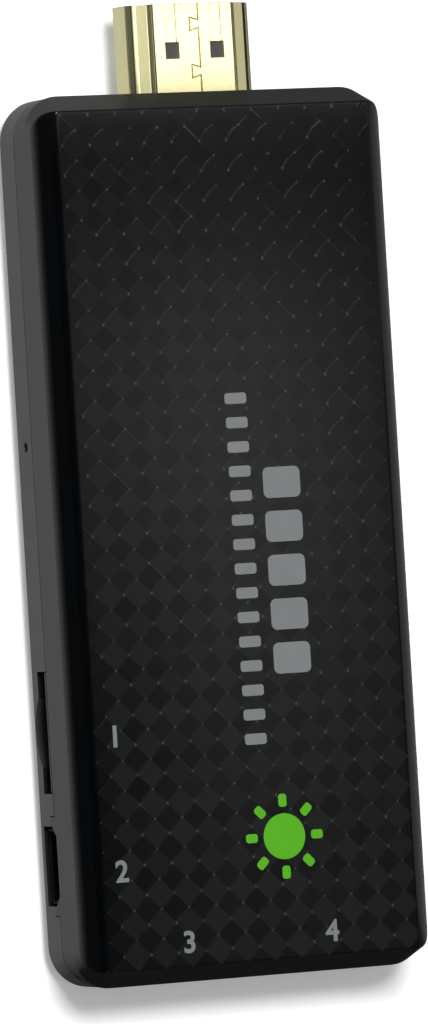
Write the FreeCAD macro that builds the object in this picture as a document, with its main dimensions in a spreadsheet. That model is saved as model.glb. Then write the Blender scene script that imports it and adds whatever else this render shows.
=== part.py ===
import FreeCAD
import Part
import Sketcher
import math
import os

# A streaming stick that plugs into a television: X across, Y towards the plug, Z up, in millimetres.
# It lies flat, with the origin under the middle of its overall box.

SIZES = {
    # outer shape of the two covers
    "body_length": 88.9,
    "body_width": 38.5,
    "body_height": 11.7,
    "plug_reach": 8.9,
    "corner_radius": 4.3,
    "rim_radius": 3.6,
    "crown_radius": 2.4,
    "foot_bevel_width": 1.2,
    "foot_bevel_height": 2.0,
    "parting_height": 5.5,
    "end_bevel_start": 8.3,
    "end_bevel_depth": 1.7,
    "shoulder_start": 9.65,
    "shoulder_depth": 2.05,
    "shoulder_swell": 0.16,
    "reveal_depth": 0.5,
    "reveal_gap": 0.14,
    "groove_depth": 0.3,
    # walls and fits
    "side_wall": 1.3,
    "end_wall": 1.4,
    "roof_skin": 1.2,
    "floor_skin": 1.2,
    "roof_margin": 0.5,
    "fit_gap": 0.1,
    # circuit board
    "board_side_gap": 1.15,
    "board_thickness": 1.2,
    "board_bottom": 5.3,
    "board_end_gap": 0.6,
    "board_radius": 3.0,
    "board_front_gap": 0.2,
    "notch_gap": 0.25,
    # posts, pins and screws that hold the board
    "post_diameter": 3.8,
    "post_inset": 3.3,
    "post_front_setback": 4.2,
    "post_card_spacing": 10.7,
    "screw_rear_y": -29.0,
    "pin_diameter": 1.5,
    "pin_rise": 0.5,
    "screw_diameter": 1.4,
    "screw_length": 5.0,
    "screw_head_diameter": 2.8,
    "screw_head_height": 0.7,
    "screw_slot_width": 0.35,
    "screw_slot_depth": 0.4,
    "screw_slot_length": 1.7,
    # snap hooks
    "hook_width": 4.0,
    "hook_thickness": 0.8,
    "hook_drop": 2.3,
    "hook_root": 2.2,
    "hook_barb": 0.35,
    "hook_barb_height": 0.9,
    "hook_recess_depth": 0.55,
    "hook_front_y": 22.0,
    "hook_rear_y": -6.0,
    # vents in the floor
    "vent_length": 12.0,
    "vent_width": 1.2,
    "vent_pitch": 3.0,
    "vent_count": 6,
    "vent_front_y": 22.0,
    # display plug
    "plug_width": 13.9,
    "plug_height": 4.45,
    "plug_side_height": 1.97,
    "plug_taper": 2.56,
    "plug_length": 13.0,
    "plug_metal": 0.3,
    "plug_bend": 0.45,
    "plug_recess": 0.7,
    "plug_core_length": 11.5,
    "latch_window_width": 1.5,
    "latch_window_length": 1.65,
    "latch_window_spacing": 4.95,
    "latch_window_setback": 4.7,
    "latch_groove_width": 1.05,
    "latch_groove_depth": 0.07,
    "seam_width": 0.12,
    "seam_depth": 0.16,
    "dovetail_length": 1.25,
    "dovetail_reach": 0.95,
    "dovetail_flare": 0.3,
    "dovetail_first": 1.45,
    "dovetail_second": 6.2,
    "tongue_slot_width": 10.3,
    "tongue_slot_depth": 7.6,
    "plug_contact_width": 0.4,
    "plug_contact_thickness": 0.15,
    "plug_contact_pitch": 1.0,
    "plug_contact_tail": 2.2,
    "plug_contact_count_above": 10,
    "plug_contact_count_below": 9,
    "plug_wing_width": 0.9,
    "plug_wing_length": 2.4,
    # large socket at the far end
    "host_side_gap": 2.25,
    "host_z": 4.3,
    "host_width": 13.1,
    "host_height": 5.7,
    "host_depth": 13.8,
    "host_metal": 0.3,
    "host_opening_gap": 0.25,
    "host_setback": 0.4,
    "host_tongue_width": 11.1,
    "host_tongue_thickness": 1.84,
    "host_tongue_length": 8.8,
    "host_tongue_headroom": 0.7,
    "host_back": 3.0,
    "host_contact_count": 4,
    "host_contact_width": 1.0,
    "host_contact_thickness": 0.2,
    "host_contact_pitch": 2.3,
    "host_contact_setback": 1.2,
    "host_contact_tail": 1.5,
    "host_spring_setback": 2.2,
    "host_spring_width": 1.8,
    "host_spring_length": 5.5,
    "host_spring_slit": 0.5,
    "host_spring_spacing": 6.0,
    "host_wing_width": 1.1,
    "host_wing_length": 2.4,
    # the two small sockets
    "dc_x": -8.0,
    "otg_setback": 12.35,
    "micro_width": 7.5,
    "micro_height": 2.6,
    "micro_side_height": 1.35,
    "micro_taper": 0.85,
    "micro_depth": 5.4,
    "micro_metal": 0.25,
    "micro_back": 1.3,
    "micro_tongue_width": 3.7,
    "micro_tongue_thickness": 0.6,
    "micro_tongue_drop": 0.65,
    "micro_contact_count": 5,
    "micro_contact_width": 0.3,
    "micro_contact_thickness": 0.12,
    "micro_contact_pitch": 0.65,
    "micro_contact_tail": 0.9,
    "micro_leg_width": 1.4,
    "micro_leg_reach": 0.9,
    "micro_setback": 0.4,
    "micro_hole_width": 8.0,
    "micro_hole_bottom": 2.6,
    "micro_hole_top": 5.64,
    "micro_hole_chamfer": 0.9,
    "micro_tab_width": 10.1,
    "micro_tab_bottom": 4.37,
    # card socket on the left wall
    "card_spacing": 13.35,
    "card_slot_width": 12.2,
    "card_slot_bottom": 3.23,
    "card_tab_bottom": 5.07,
    "finger_chord": 7.0,
    "finger_depth": 1.15,
    "socket_width": 14.6,
    "socket_depth": 14.8,
    "socket_height": 1.85,
    "socket_wall_gap": 0.15,
    "socket_metal": 0.2,
    "socket_base_thickness": 0.6,
    "socket_end_wall": 0.8,
    "card_width": 11.2,
    "cover_window_length": 4.4,
    "cover_window_width": 5.6,
    "cover_window_setback": 5.9,
    "card_contact_count": 8,
    "card_contact_width": 0.7,
    "card_contact_thickness": 0.15,
    "card_contact_pitch": 1.1,
    "card_contact_length": 4.0,
    "card_contact_tail": 0.8,
    "slider_clearance": 0.12,
    "slider_length": 6.6,
    "slider_width": 2.0,
    "slider_arm_reach": 1.6,
    "slider_arm_length": 1.4,
    "slider_front_gap": 3.2,
    "slider_travel": 1.5,
    "cam_pin_wire": 0.24,
    "cam_pin_length": 3.0,
    "heart_length": 2.7,
    "heart_width": 1.3,
    "heart_depth": 0.3,
    "heart_island_length": 0.6,
    "heart_island_width": 0.26,
    "heart_island_offset": 0.42,
    "slider_spring_diameter": 0.7,
    "slider_spring_wire": 0.12,
    "slider_spring_turn_count": 4,
    # reset switch behind the pinhole
    "reset_y": 5.3,
    "reset_z": 3.84,
    "pinhole_diameter": 1.0,
    "reset_width": 4.4,
    "reset_height": 2.9,
    "reset_depth": 3.2,
    "reset_metal": 0.2,
    "reset_flank_length": 2.2,
    "reset_cavity_diameter": 2.5,
    "reset_cavity_depth": 1.35,
    "plunger_diameter": 1.2,
    "plunger_flange_diameter": 2.1,
    "plunger_flange": 0.35,
    "plunger_proud": 0.45,
    "plunger_travel": 0.25,
    "plunger_clearance": 0.12,
    "dome_thickness": 0.08,
    "dome_rise": 0.4,
    "dome_diameter": 2.2,
    "switch_wall_gap": 0.62,
    # chips and other parts on the board
    "processor_size": 16.0,
    "processor_thickness": 1.2,
    "processor_y": 14.0,
    "memory_length": 11.5,
    "memory_width": 8.0,
    "memory_thickness": 1.0,
    "memory_spacing": 13.0,
    "memory_y": -2.5,
    "flash_length": 18.0,
    "flash_width": 12.0,
    "flash_thickness": 1.0,
    "flash_lead_width": 0.3,
    "flash_lead_reach": 0.7,
    "flash_lead_pitch": 1.0,
    "flash_lead_count": 11,
    "flash_y": 16.0,
    "power_chip_size": 6.0,
    "power_chip_thickness": 0.85,
    "power_chip_y": -21.0,
    "radio_size": 12.0,
    "radio_thickness": 1.5,
    "radio_carrier_thickness": 0.5,
    "radio_side_gap": 1.8,
    "radio_y": -21.0,
    "crystal_length": 3.2,
    "crystal_width": 2.5,
    "crystal_thickness": 0.8,
    "inductor_count": 3,
    "inductor_size": 4.0,
    "inductor_height": 1.8,
    "inductor_core": 3.0,
    "capacitor_length": 1.6,
    "capacitor_width": 0.8,
    "capacitor_pitch": 2.2,
    "capacitor_count": 7,
    "capacitor_gap": 0.8,
    "bulk_length": 3.5,
    "bulk_width": 2.8,
    "bulk_height": 1.9,
    "bulk_spacing": 4.2,
    "antenna_length": 17.0,
    "antenna_width": 2.0,
    "antenna_metal": 0.2,
    "antenna_height": 2.2,
    "antenna_y": -21.0,
    "antenna_edge_gap": 0.3,
    # heat path to the roof
    "thermal_pad_size": 15.0,
    "thermal_pad_thickness": 0.5,
    "spreader_width": 28.0,
    "spreader_length": 38.0,
    "spreader_thickness": 1.0,
    "spreader_y": 8.0,
    "spreader_corner": 2.0,
    "spreader_post_diameter": 2.4,
    "spreader_post_inset": 3.0,
}

document = FreeCAD.newDocument("streaming_stick")
sheet = document.addObject("Spreadsheet::Sheet", "size")
for row, (alias, number) in enumerate(SIZES.items(), start=1):
    sheet.set(f"A{row}", alias)
    sheet.set(f"B{row}", str(number))
    sheet.setAlias(f"B{row}", alias)
document.recompute()


class Size:
    """A length with its number and the sheet formula that it is bound to."""

    def __init__(self, number, formula):
        self.number = number
        self.formula = formula

    def __add__(self, other):
        other = as_size(other)
        return Size(self.number + other.number, f"({self.formula} + {other.formula})")

    def __sub__(self, other):
        other = as_size(other)
        return Size(self.number - other.number, f"({self.formula} - {other.formula})")

    def __mul__(self, other):
        other = as_size(other)
        return Size(self.number * other.number, f"{self.formula} * {other.formula}")

    def __truediv__(self, other):
        other = as_size(other)
        return Size(self.number / other.number, f"{self.formula} / ({other.formula})")

    def __neg__(self):
        return Size(-self.number, f"(0 - {self.formula})")

    def __radd__(self, other):
        return as_size(other) + self

    def __rsub__(self, other):
        return as_size(other) - self

    def __rmul__(self, other):
        return as_size(other) * self


class Sheet:
    """The driving dimensions by name, such as s.body_width."""

    def __getattr__(self, alias):
        return Size(float(SIZES[alias]), f"size.{alias}")


s = Sheet()


def as_size(value):
    """A plain number as a size of its own."""
    return value if isinstance(value, Size) else Size(float(value), f"({float(value)})")


def bind(thing, path, value):
    """Bind one property of an object to its formula."""
    thing.setExpression(path, as_size(value).formula)


def place(thing, x=0, y=0, z=0, turn=0):
    """Put an object at a bound place, turned about Z by so many degrees."""
    thing.Placement = FreeCAD.Placement(
        FreeCAD.Vector(), FreeCAD.Rotation(FreeCAD.Vector(0, 0, 1), turn))
    bind(thing, "Placement.Base.x", x)
    bind(thing, "Placement.Base.y", y)
    bind(thing, "Placement.Base.z", z)
    return thing


def block(x, y, z, length, width, height):
    """A box from its lowest corner, with its sizes along X, Y and Z."""
    thing = document.addObject("Part::Box", "block")
    bind(thing, "Length", length)
    bind(thing, "Width", width)
    bind(thing, "Height", height)
    return place(thing, x, y, z)


def centred(x, y, z, length, width, height):
    """A box centred on x and y, standing on z."""
    return block(x - as_size(length) / 2, y - as_size(width) / 2, z, length, width, height)


def rod(x, y, z, diameter, height, along="Z"):
    """A cylinder that starts at x, y, z and runs along one axis."""
    thing = document.addObject("Part::Cylinder", "rod")
    bind(thing, "Radius", as_size(diameter) / 2)
    bind(thing, "Height", height)
    place(thing, x, y, z)
    if along == "X":
        thing.Placement.Rotation = FreeCAD.Rotation(FreeCAD.Vector(0, 1, 0), 90)
    return thing


def cut(base, *tools):
    """The base with every tool cut away."""
    thing = base
    for tool in tools:
        difference = document.addObject("Part::Cut", "cut")
        difference.Base = thing
        difference.Tool = tool
        thing = difference
    return thing


def fuse(*shapes):
    """Several overlapping or touching shapes as one solid."""
    thing = document.addObject("Part::MultiFuse", "fuse")
    thing.Shapes = list(shapes)
    thing.Refine = True
    return thing


def group(shapes):
    """Separate solids kept together as one node."""
    thing = document.addObject("Part::Compound", "group")
    thing.Links = list(shapes)
    return thing


subparts = []


def name_part(thing, label):
    """Give a finished sub-part its own name and put it on the list that is written out."""
    thing.Label = label
    subparts.append(thing)
    return thing


def new_body(label):
    """A body that sketches and features are added to."""
    body = document.addObject("PartDesign::Body", label)
    name_part(body, label)
    return body


def new_sketch(body, role, offset=0):
    """A sketch on one of the body's own origin planes, moved along its normal."""
    sketch = body.newObject("Sketcher::SketchObject", "outline")
    plane = next(item for item in body.Origin.OriginFeatures if item.Role == role)
    sketch.AttachmentSupport = [(plane, "")]
    sketch.MapMode = "FlatFace"
    bind(sketch, "AttachmentOffset.Base.z", offset)
    return sketch


def fix(sketch, kind, line, point, value):
    """Hold one point of a line at a bound distance from the sketch's origin."""
    value = as_size(value)
    index = sketch.addConstraint(
        Sketcher.Constraint(kind, -1, 1, line, point, value.number))
    sketch.setExpression(f"Constraints[{index}]", value.formula)


def draw_outline(sketch, points):
    """A closed outline of straight lines through points, each a pair of sizes."""
    points = [(as_size(across), as_size(up)) for across, up in points]
    corners = [FreeCAD.Vector(across.number, up.number, 0) for across, up in points]
    first = sketch.GeometryCount
    count = len(corners)
    for i in range(count):
        sketch.addGeometry(Part.LineSegment(corners[i], corners[(i + 1) % count]), False)
    for i in range(count):
        following = first + (i + 1) % count
        sketch.addConstraint(Sketcher.Constraint("Coincident", first + i, 2, following, 1))
    for i, (across, up) in enumerate(points):
        fix(sketch, "DistanceX", first + i, 1, across)
        fix(sketch, "DistanceY", first + i, 1, up)


def draw_rectangle(sketch, left, right, low, high):
    """A plain rectangle between bound sides."""
    draw_outline(sketch, [(left, low), (right, low), (right, high), (left, high)])


def draw_rounded(sketch, left, right, low, high, radius):
    """A rectangle with four equal round corners."""
    left, right, low, high, radius = map(as_size, (left, right, low, high, radius))
    x0, x1, y0, y1, r = left.number, right.number, low.number, high.number, radius.number
    quarter = math.pi / 2
    first = sketch.GeometryCount
    corner_points = [
        ((x0 + r, y0), (x1 - r, y0), (x1 - r, y0 + r), 3),
        ((x1, y0 + r), (x1, y1 - r), (x1 - r, y1 - r), 0),
        ((x1 - r, y1), (x0 + r, y1), (x0 + r, y1 - r), 1),
        ((x0, y1 - r), (x0, y0 + r), (x0 + r, y0 + r), 2),
    ]
    for start, end, centre, turn in corner_points:
        sketch.addGeometry(Part.LineSegment(
            FreeCAD.Vector(*start, 0), FreeCAD.Vector(*end, 0)), False)
        circle = Part.Circle(FreeCAD.Vector(*centre, 0), FreeCAD.Vector(0, 0, 1), r)
        sketch.addGeometry(Part.ArcOfCircle(circle, turn * quarter, (turn + 1) * quarter), False)
    for i in range(4):
        line = first + 2 * i
        arc = line + 1
        following = first + (2 * i + 2) % 8
        sketch.addConstraint(Sketcher.Constraint("Tangent", line, 2, arc, 1))
        sketch.addConstraint(Sketcher.Constraint("Tangent", arc, 2, following, 1))
        sketch.addConstraint(Sketcher.Constraint("Horizontal" if i % 2 == 0 else "Vertical", line))
    for i in range(1, 4):
        sketch.addConstraint(Sketcher.Constraint("Equal", first + 1, first + 1 + 2 * i))
    index = sketch.addConstraint(Sketcher.Constraint("Radius", first + 1, r))
    sketch.setExpression(f"Constraints[{index}]", radius.formula)
    fix(sketch, "DistanceY", first, 1, low)
    fix(sketch, "DistanceX", first + 2, 1, right)
    fix(sketch, "DistanceY", first + 4, 1, high)
    fix(sketch, "DistanceX", first + 6, 1, left)


def draw_circle(sketch, across, up, diameter):
    """A circle with its centre and diameter bound."""
    across, up, radius = as_size(across), as_size(up), as_size(diameter) / 2
    centre = FreeCAD.Vector(across.number, up.number, 0)
    index = sketch.addGeometry(
        Part.Circle(centre, FreeCAD.Vector(0, 0, 1), radius.number), False)
    fix(sketch, "DistanceX", index, 3, across)
    fix(sketch, "DistanceY", index, 3, up)
    constraint = sketch.addConstraint(Sketcher.Constraint("Radius", index, radius.number))
    sketch.setExpression(f"Constraints[{constraint}]", radius.formula)


def draw_arched(sketch, points, bow):
    """A closed outline whose second side, from points[1] to points[2], bows outwards by bow."""
    points = [(as_size(across), as_size(up)) for across, up in points]
    draw_outline(sketch, points)
    run = points[2][0] - points[1][0]
    rise = points[2][1] - points[1][1]
    radius = (run * run + rise * rise) / (8 * as_size(bow)) + as_size(bow) / 2
    chord = math.hypot(run.number, rise.number)
    way = 1 if run.number < 0 else -1
    middle = FreeCAD.Vector(
        points[1][0].number + run.number / 2 + way * rise.number / chord * bow.number,
        points[1][1].number + rise.number / 2 - way * run.number / chord * bow.number, 0)
    start, end = (FreeCAD.Vector(across.number, up.number, 0) for across, up in points[1:3])
    side_line = sketch.GeometryCount - len(points) + 1
    sketch.toggleConstruction(side_line)
    arc = sketch.addGeometry(Part.Arc(start, middle, end), False)
    first_end, second_end = (1, 2) if way > 0 else (2, 1)
    sketch.addConstraint(Sketcher.Constraint("Coincident", arc, first_end, side_line, 1))
    sketch.addConstraint(Sketcher.Constraint("Coincident", arc, second_end, side_line, 2))
    index = sketch.addConstraint(Sketcher.Constraint("Radius", arc, radius.number))
    sketch.setExpression(f"Constraints[{index}]", radius.formula)


def pad(body, sketch, length, reverse=False):
    """Raise a sketch along its normal, or against it."""
    feature = body.newObject("PartDesign::Pad", "pad")
    feature.Profile = sketch
    bind(feature, "Length", length)
    feature.Reversed = reverse
    return feature


def pocket(body, sketch, length, along_normal=False):
    """Cut a sketch away against its normal, or along it."""
    feature = body.newObject("PartDesign::Pocket", "pocket")
    feature.Profile = sketch
    bind(feature, "Length", length)
    feature.Reversed = along_normal
    return feature


def loft(body, kind, first, second):
    """A ruled loft between two sketches, added or taken away."""
    feature = body.newObject(kind, "loft")
    feature.Profile = first
    feature.Sections = [second]
    feature.Ruled = True
    return feature


# Places that several pieces share.
plug_end = (s.body_length - s.plug_reach) / 2
far_end = -(s.body_length + s.plug_reach) / 2
side = s.body_width / 2
otg_y = far_end + s.otg_setback
card_y = otg_y + s.card_spacing
board_top = s.board_bottom + s.board_thickness
plug_z = s.board_bottom + s.board_thickness / 2
plug_tip = plug_end + s.plug_reach
plug_back = plug_tip - s.plug_length
board_front = plug_back - s.board_front_gap
board_rear = far_end + s.end_wall + s.board_end_gap
board_side = side - s.side_wall - s.board_side_gap
roof_inside = s.body_height - s.roof_skin
post_x = board_side - s.post_inset
post_front_y = board_front - s.post_front_setback
host_x = board_side - s.host_side_gap - s.host_width / 2
host_left = host_x - s.host_width / 2
host_right = host_x + s.host_width / 2
host_low = s.host_z - s.host_height / 2
host_high = s.host_z + s.host_height / 2
spreader_bottom = board_top + s.processor_thickness + s.thermal_pad_thickness
spreader_top = spreader_bottom + s.spreader_thickness


def draw_body_outline(sketch, side_inset, end_inset, radius):
    """The plan of the body, drawn in from its sides and ends."""
    draw_rounded(sketch, side_inset - side, side - side_inset,
                 far_end + end_inset, plug_end - end_inset, radius)


def plug_outline(inset):
    """The plug's section round its own centre: wide below, tapered to a narrow upper face."""
    half = s.plug_width / 2 - inset
    low = inset - s.plug_height / 2
    high = s.plug_height / 2 - inset
    knee = s.plug_side_height - s.plug_height / 2 - as_size(inset) / 3
    narrow = s.plug_width / 2 - s.plug_taper - as_size(inset) * 2 / 3
    return [(-half, low), (half, low), (half, knee), (narrow, high), (-narrow, high), (-half, knee)]


def raised(points, height):
    """The same points, lifted."""
    return [(across, up + height) for across, up in points]


def micro_hole_outline(middle, low):
    """A small socket's opening: square at the bottom, with cut corners at the top."""
    half = s.micro_hole_width / 2
    slope = s.micro_hole_chamfer
    return [(middle - half, low), (middle + half, low), (middle + half, s.micro_hole_top - slope),
            (middle + half - slope, s.micro_hole_top), (middle - half + slope, s.micro_hole_top),
            (middle - half, s.micro_hole_top - slope)]


# Upper cover: a moulded shell with rolled side shoulders, steeper bevels that wrap round the
# corners at both ends, tabs that close the tops of the sockets' openings, and four snap hooks.
upper = new_body("upper_cover")
wall_foot = new_sketch(upper, "XY_Plane", s.parting_height)
draw_body_outline(wall_foot, 0, 0, s.corner_radius)
wall_head = new_sketch(upper, "XY_Plane", s.end_bevel_start)
draw_body_outline(wall_head, 0, 0, s.rim_radius)
loft(upper, "PartDesign::AdditiveLoft", wall_foot, wall_head)
bevel_foot = new_sketch(upper, "XY_Plane", s.end_bevel_start)
draw_body_outline(bevel_foot, 0, 0, s.rim_radius)
bevel_head = new_sketch(upper, "XY_Plane", s.body_height)
draw_body_outline(bevel_head, 0, s.end_bevel_depth, s.crown_radius)
loft(upper, "PartDesign::AdditiveLoft", bevel_foot, bevel_head)

for hand in (-1, 1):
    sketch = new_sketch(upper, "XZ_Plane", -far_end + s.fit_gap)
    draw_arched(sketch, [
        (hand * (side + s.side_wall), s.shoulder_start),
        (hand * side, s.shoulder_start),
        (hand * (side - s.shoulder_depth), s.body_height),
        (hand * (side - s.shoulder_depth), s.body_height + s.roof_skin),
        (hand * (side + s.side_wall), s.body_height + s.roof_skin)], s.shoulder_swell)
    pocket(upper, sketch, s.body_length + 2 * s.fit_gap)

cavity_foot = new_sketch(upper, "XY_Plane", s.parting_height)
draw_body_outline(cavity_foot, s.side_wall, s.end_wall, s.corner_radius - s.side_wall)
cavity_head = new_sketch(upper, "XY_Plane", roof_inside)
draw_body_outline(cavity_head, s.shoulder_depth + s.roof_margin,
                  s.end_bevel_depth + s.roof_margin, s.crown_radius - s.roof_margin)
loft(upper, "PartDesign::SubtractiveLoft", cavity_foot, cavity_head)

# Tabs over the card slot and the small sockets, as thick as the wall that they hang from.
sketch = new_sketch(upper, "YZ_Plane", -side)
card_half = s.card_slot_width / 2 - s.fit_gap
draw_rectangle(sketch, card_y - card_half, card_y + card_half,
               s.card_tab_bottom, s.parting_height)
tab_half = s.micro_tab_width / 2 - s.fit_gap
draw_rectangle(sketch, otg_y - tab_half, otg_y + tab_half,
               s.micro_tab_bottom, s.parting_height)
pad(upper, sketch, s.side_wall)
sketch = new_sketch(upper, "XZ_Plane", -far_end)
draw_rectangle(sketch, s.dc_x - tab_half, s.dc_x + tab_half, s.micro_tab_bottom, s.parting_height)
pad(upper, sketch, s.end_wall, reverse=True)

# The shadow gap runs on across the card slot's tab as a shallow groove.
sketch = new_sketch(upper, "YZ_Plane", -side)
draw_rectangle(sketch, card_y - card_half - s.fit_gap, card_y + card_half + s.fit_gap,
               s.parting_height - s.reveal_gap, s.parting_height)
pocket(upper, sketch, s.groove_depth, along_normal=True)

# The openings for the plug and the sockets.
sketch = new_sketch(upper, "YZ_Plane", -side)
draw_outline(sketch, micro_hole_outline(otg_y, s.micro_tab_bottom - s.fit_gap))
pocket(upper, sketch, s.side_wall + s.end_wall, along_normal=True)
sketch = new_sketch(upper, "XZ_Plane", -far_end)
draw_outline(sketch, micro_hole_outline(s.dc_x, s.micro_tab_bottom - s.fit_gap))
pocket(upper, sketch, s.side_wall + s.end_wall)
sketch = new_sketch(upper, "XZ_Plane", -far_end)
gap = s.host_opening_gap
draw_rectangle(sketch, host_left - gap, host_right + gap, host_low - gap, host_high + gap)
pocket(upper, sketch, s.side_wall + s.end_wall)
sketch = new_sketch(upper, "XZ_Plane", -plug_end)
draw_outline(sketch, raised(plug_outline(-s.fit_gap), plug_z))
pocket(upper, sketch, s.side_wall + s.end_wall, along_normal=True)

# Posts that press the heat spreader down, and the snap hooks.
sketch = new_sketch(upper, "XY_Plane", spreader_top)
spreader_post_x = s.spreader_width / 2 - s.spreader_post_inset
spreader_post_y = s.spreader_length / 2 - s.spreader_post_inset
for across in (-1, 1):
    for along in (-1, 1):
        draw_circle(sketch, across * spreader_post_x, s.spreader_y + along * spreader_post_y,
                    s.spreader_post_diameter)
pad(upper, sketch, roof_inside - spreader_top + s.fit_gap)
hook_face = side - s.side_wall - s.fit_gap
hook_low = s.parting_height - s.hook_drop
for hand in (-1, 1):
    for hook_y in (s.hook_front_y, s.hook_rear_y):
        sketch = new_sketch(upper, "XZ_Plane", -(hook_y - s.hook_width / 2))
        draw_outline(sketch, [
            (hand * (hook_face - s.hook_thickness), s.parting_height + s.hook_root),
            (hand * (hook_face - s.hook_thickness), hook_low),
            (hand * (hook_face - s.hook_thickness / 2), hook_low),
            (hand * (hook_face + s.hook_barb), hook_low + s.hook_barb_height * 2 / 3),
            (hand * (hook_face + s.hook_barb), hook_low + s.hook_barb_height),
            (hand * hook_face, hook_low + s.hook_barb_height + s.fit_gap),
            (hand * hook_face, s.parting_height + s.hook_root)])
        pad(upper, sketch, s.hook_width, reverse=True)

# Lower cover: a tray with a bevelled foot, the lower halves of the openings, the finger notch
# under the card slot, the pinhole, posts for the board and vents in its floor.
lower = new_body("lower_cover")
sketch = new_sketch(lower, "XY_Plane")
draw_body_outline(sketch, 0, 0, s.corner_radius)
tray = pad(lower, sketch, s.parting_height)
document.recompute()


def edges_at(shape, height):
    """Names of the edges that lie level at one height."""
    names = []
    for number, edge in enumerate(shape.Edges, start=1):
        box = edge.BoundBox
        if abs(box.ZMin - height) + abs(box.ZMax - height) < 0.001:
            names.append(f"Edge{number}")
    return names


foot = lower.newObject("PartDesign::Chamfer", "foot")
foot.Base = (tray, edges_at(tray.Shape, 0))
foot.ChamferType = "Two distances"
foot.FlipDirection = True
bind(foot, "Size", s.foot_bevel_width)
bind(foot, "Size2", s.foot_bevel_height)
sketch = new_sketch(lower, "XY_Plane", s.parting_height)
draw_body_outline(sketch, s.side_wall, s.end_wall, s.corner_radius - s.side_wall)
pocket(lower, sketch, s.parting_height - s.floor_skin)

# The shadow gap round the parting line: the outer part of the rim is a little lower.
sketch = new_sketch(lower, "XY_Plane", s.parting_height)
draw_body_outline(sketch, -s.fit_gap, -s.fit_gap, s.corner_radius + s.fit_gap)
draw_body_outline(sketch, s.reveal_depth, s.reveal_depth, s.corner_radius - s.reveal_depth)
pocket(lower, sketch, s.reveal_gap)

# Openings in the left wall.
above = s.parting_height + s.fit_gap
sketch = new_sketch(lower, "YZ_Plane", -side)
card_half = s.card_slot_width / 2
draw_rectangle(sketch, card_y - card_half, card_y + card_half, s.card_slot_bottom, above)
hole_half = s.micro_hole_width / 2
tab_half = s.micro_tab_width / 2
draw_outline(sketch, [
    (otg_y - hole_half, s.micro_hole_bottom), (otg_y + hole_half, s.micro_hole_bottom),
    (otg_y + hole_half, s.micro_tab_bottom), (otg_y + tab_half, s.micro_tab_bottom),
    (otg_y + tab_half, above), (otg_y - tab_half, above),
    (otg_y - tab_half, s.micro_tab_bottom), (otg_y - hole_half, s.micro_tab_bottom)])
pocket(lower, sketch, s.side_wall + s.fit_gap, along_normal=True)
finger_radius = ((s.finger_chord / 2) * (s.finger_chord / 2) + s.finger_depth * s.finger_depth) / (
    2 * s.finger_depth)
sketch = new_sketch(lower, "YZ_Plane", -side)
draw_circle(sketch, card_y, s.card_slot_bottom - s.finger_depth + finger_radius,
            2 * finger_radius)
pocket(lower, sketch, s.side_wall + s.fit_gap, along_normal=True)
sketch = new_sketch(lower, "YZ_Plane", -side)
draw_circle(sketch, s.reset_y, s.reset_z, s.pinhole_diameter)
pocket(lower, sketch, s.side_wall + s.fit_gap, along_normal=True)

# Openings in the far end and the plug end.
sketch = new_sketch(lower, "XZ_Plane", -far_end)
draw_outline(sketch, [
    (s.dc_x - hole_half, s.micro_hole_bottom), (s.dc_x + hole_half, s.micro_hole_bottom),
    (s.dc_x + hole_half, s.micro_tab_bottom), (s.dc_x + tab_half, s.micro_tab_bottom),
    (s.dc_x + tab_half, above), (s.dc_x - tab_half, above),
    (s.dc_x - tab_half, s.micro_tab_bottom), (s.dc_x - hole_half, s.micro_tab_bottom)])
draw_rectangle(sketch, host_left - gap, host_right + gap, host_low - gap / 2, above)
pocket(lower, sketch, s.end_wall + s.fit_gap)
sketch = new_sketch(lower, "XZ_Plane", -plug_end)
plug_half = s.plug_width / 2 + s.fit_gap
draw_rectangle(sketch, -plug_half, plug_half, plug_z - s.plug_height / 2 - s.fit_gap, above)
pocket(lower, sketch, s.end_wall + s.fit_gap, along_normal=True)

# Recesses that the snap hooks click into.
for hand in (-1, 1):
    sketch = new_sketch(lower, "YZ_Plane", hand * (side - s.side_wall - s.fit_gap))
    for hook_y in (s.hook_front_y, s.hook_rear_y):
        half = s.hook_width / 2 + s.fit_gap
        draw_rectangle(sketch, hook_y - half, hook_y + half, hook_low - s.fit_gap,
                       hook_low + s.hook_barb_height + 2 * s.fit_gap)
    pocket(lower, sketch, s.hook_recess_depth + s.fit_gap, along_normal=hand > 0)

# Board posts: two take screws, the other two carry a locating pin.
screw_places = [(-post_x, post_front_y), (post_x, s.screw_rear_y)]
pin_places = [(post_x, post_front_y), (-post_x, card_y + s.post_card_spacing)]
sketch = new_sketch(lower, "XY_Plane", s.floor_skin)
for across, along in screw_places + pin_places:
    draw_circle(sketch, across, along, s.post_diameter)
pad(lower, sketch, s.board_bottom - s.floor_skin)
sketch = new_sketch(lower, "XY_Plane", s.board_bottom)
for across, along in pin_places:
    draw_circle(sketch, across, along, s.pin_diameter)
pad(lower, sketch, s.board_thickness + s.pin_rise)
sketch = new_sketch(lower, "XY_Plane", s.board_bottom)
for across, along in screw_places:
    draw_circle(sketch, across, along, s.screw_diameter + s.fit_gap)
pocket(lower, sketch, s.screw_length - s.board_thickness + s.fit_gap)

# Vents: a row of slots through the floor.
sketch = new_sketch(lower, "XY_Plane", s.floor_skin + s.fit_gap)
draw_rectangle(sketch, -s.vent_length / 2, s.vent_length / 2,
               s.vent_front_y - s.vent_width / 2, s.vent_front_y + s.vent_width / 2)
vent = pocket(lower, sketch, s.floor_skin + 2 * s.fit_gap)
vents = lower.newObject("PartDesign::LinearPattern", "vents")
vents.Originals = [vent]
vents.Direction = (next(item for item in lower.Origin.OriginFeatures if item.Role == "Y_Axis"), [""])
vents.Reversed = True
bind(vents, "Length", (s.vent_count - 1) * s.vent_pitch)
bind(vents, "Occurrences", s.vent_count)
lower.Tip = vents

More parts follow.
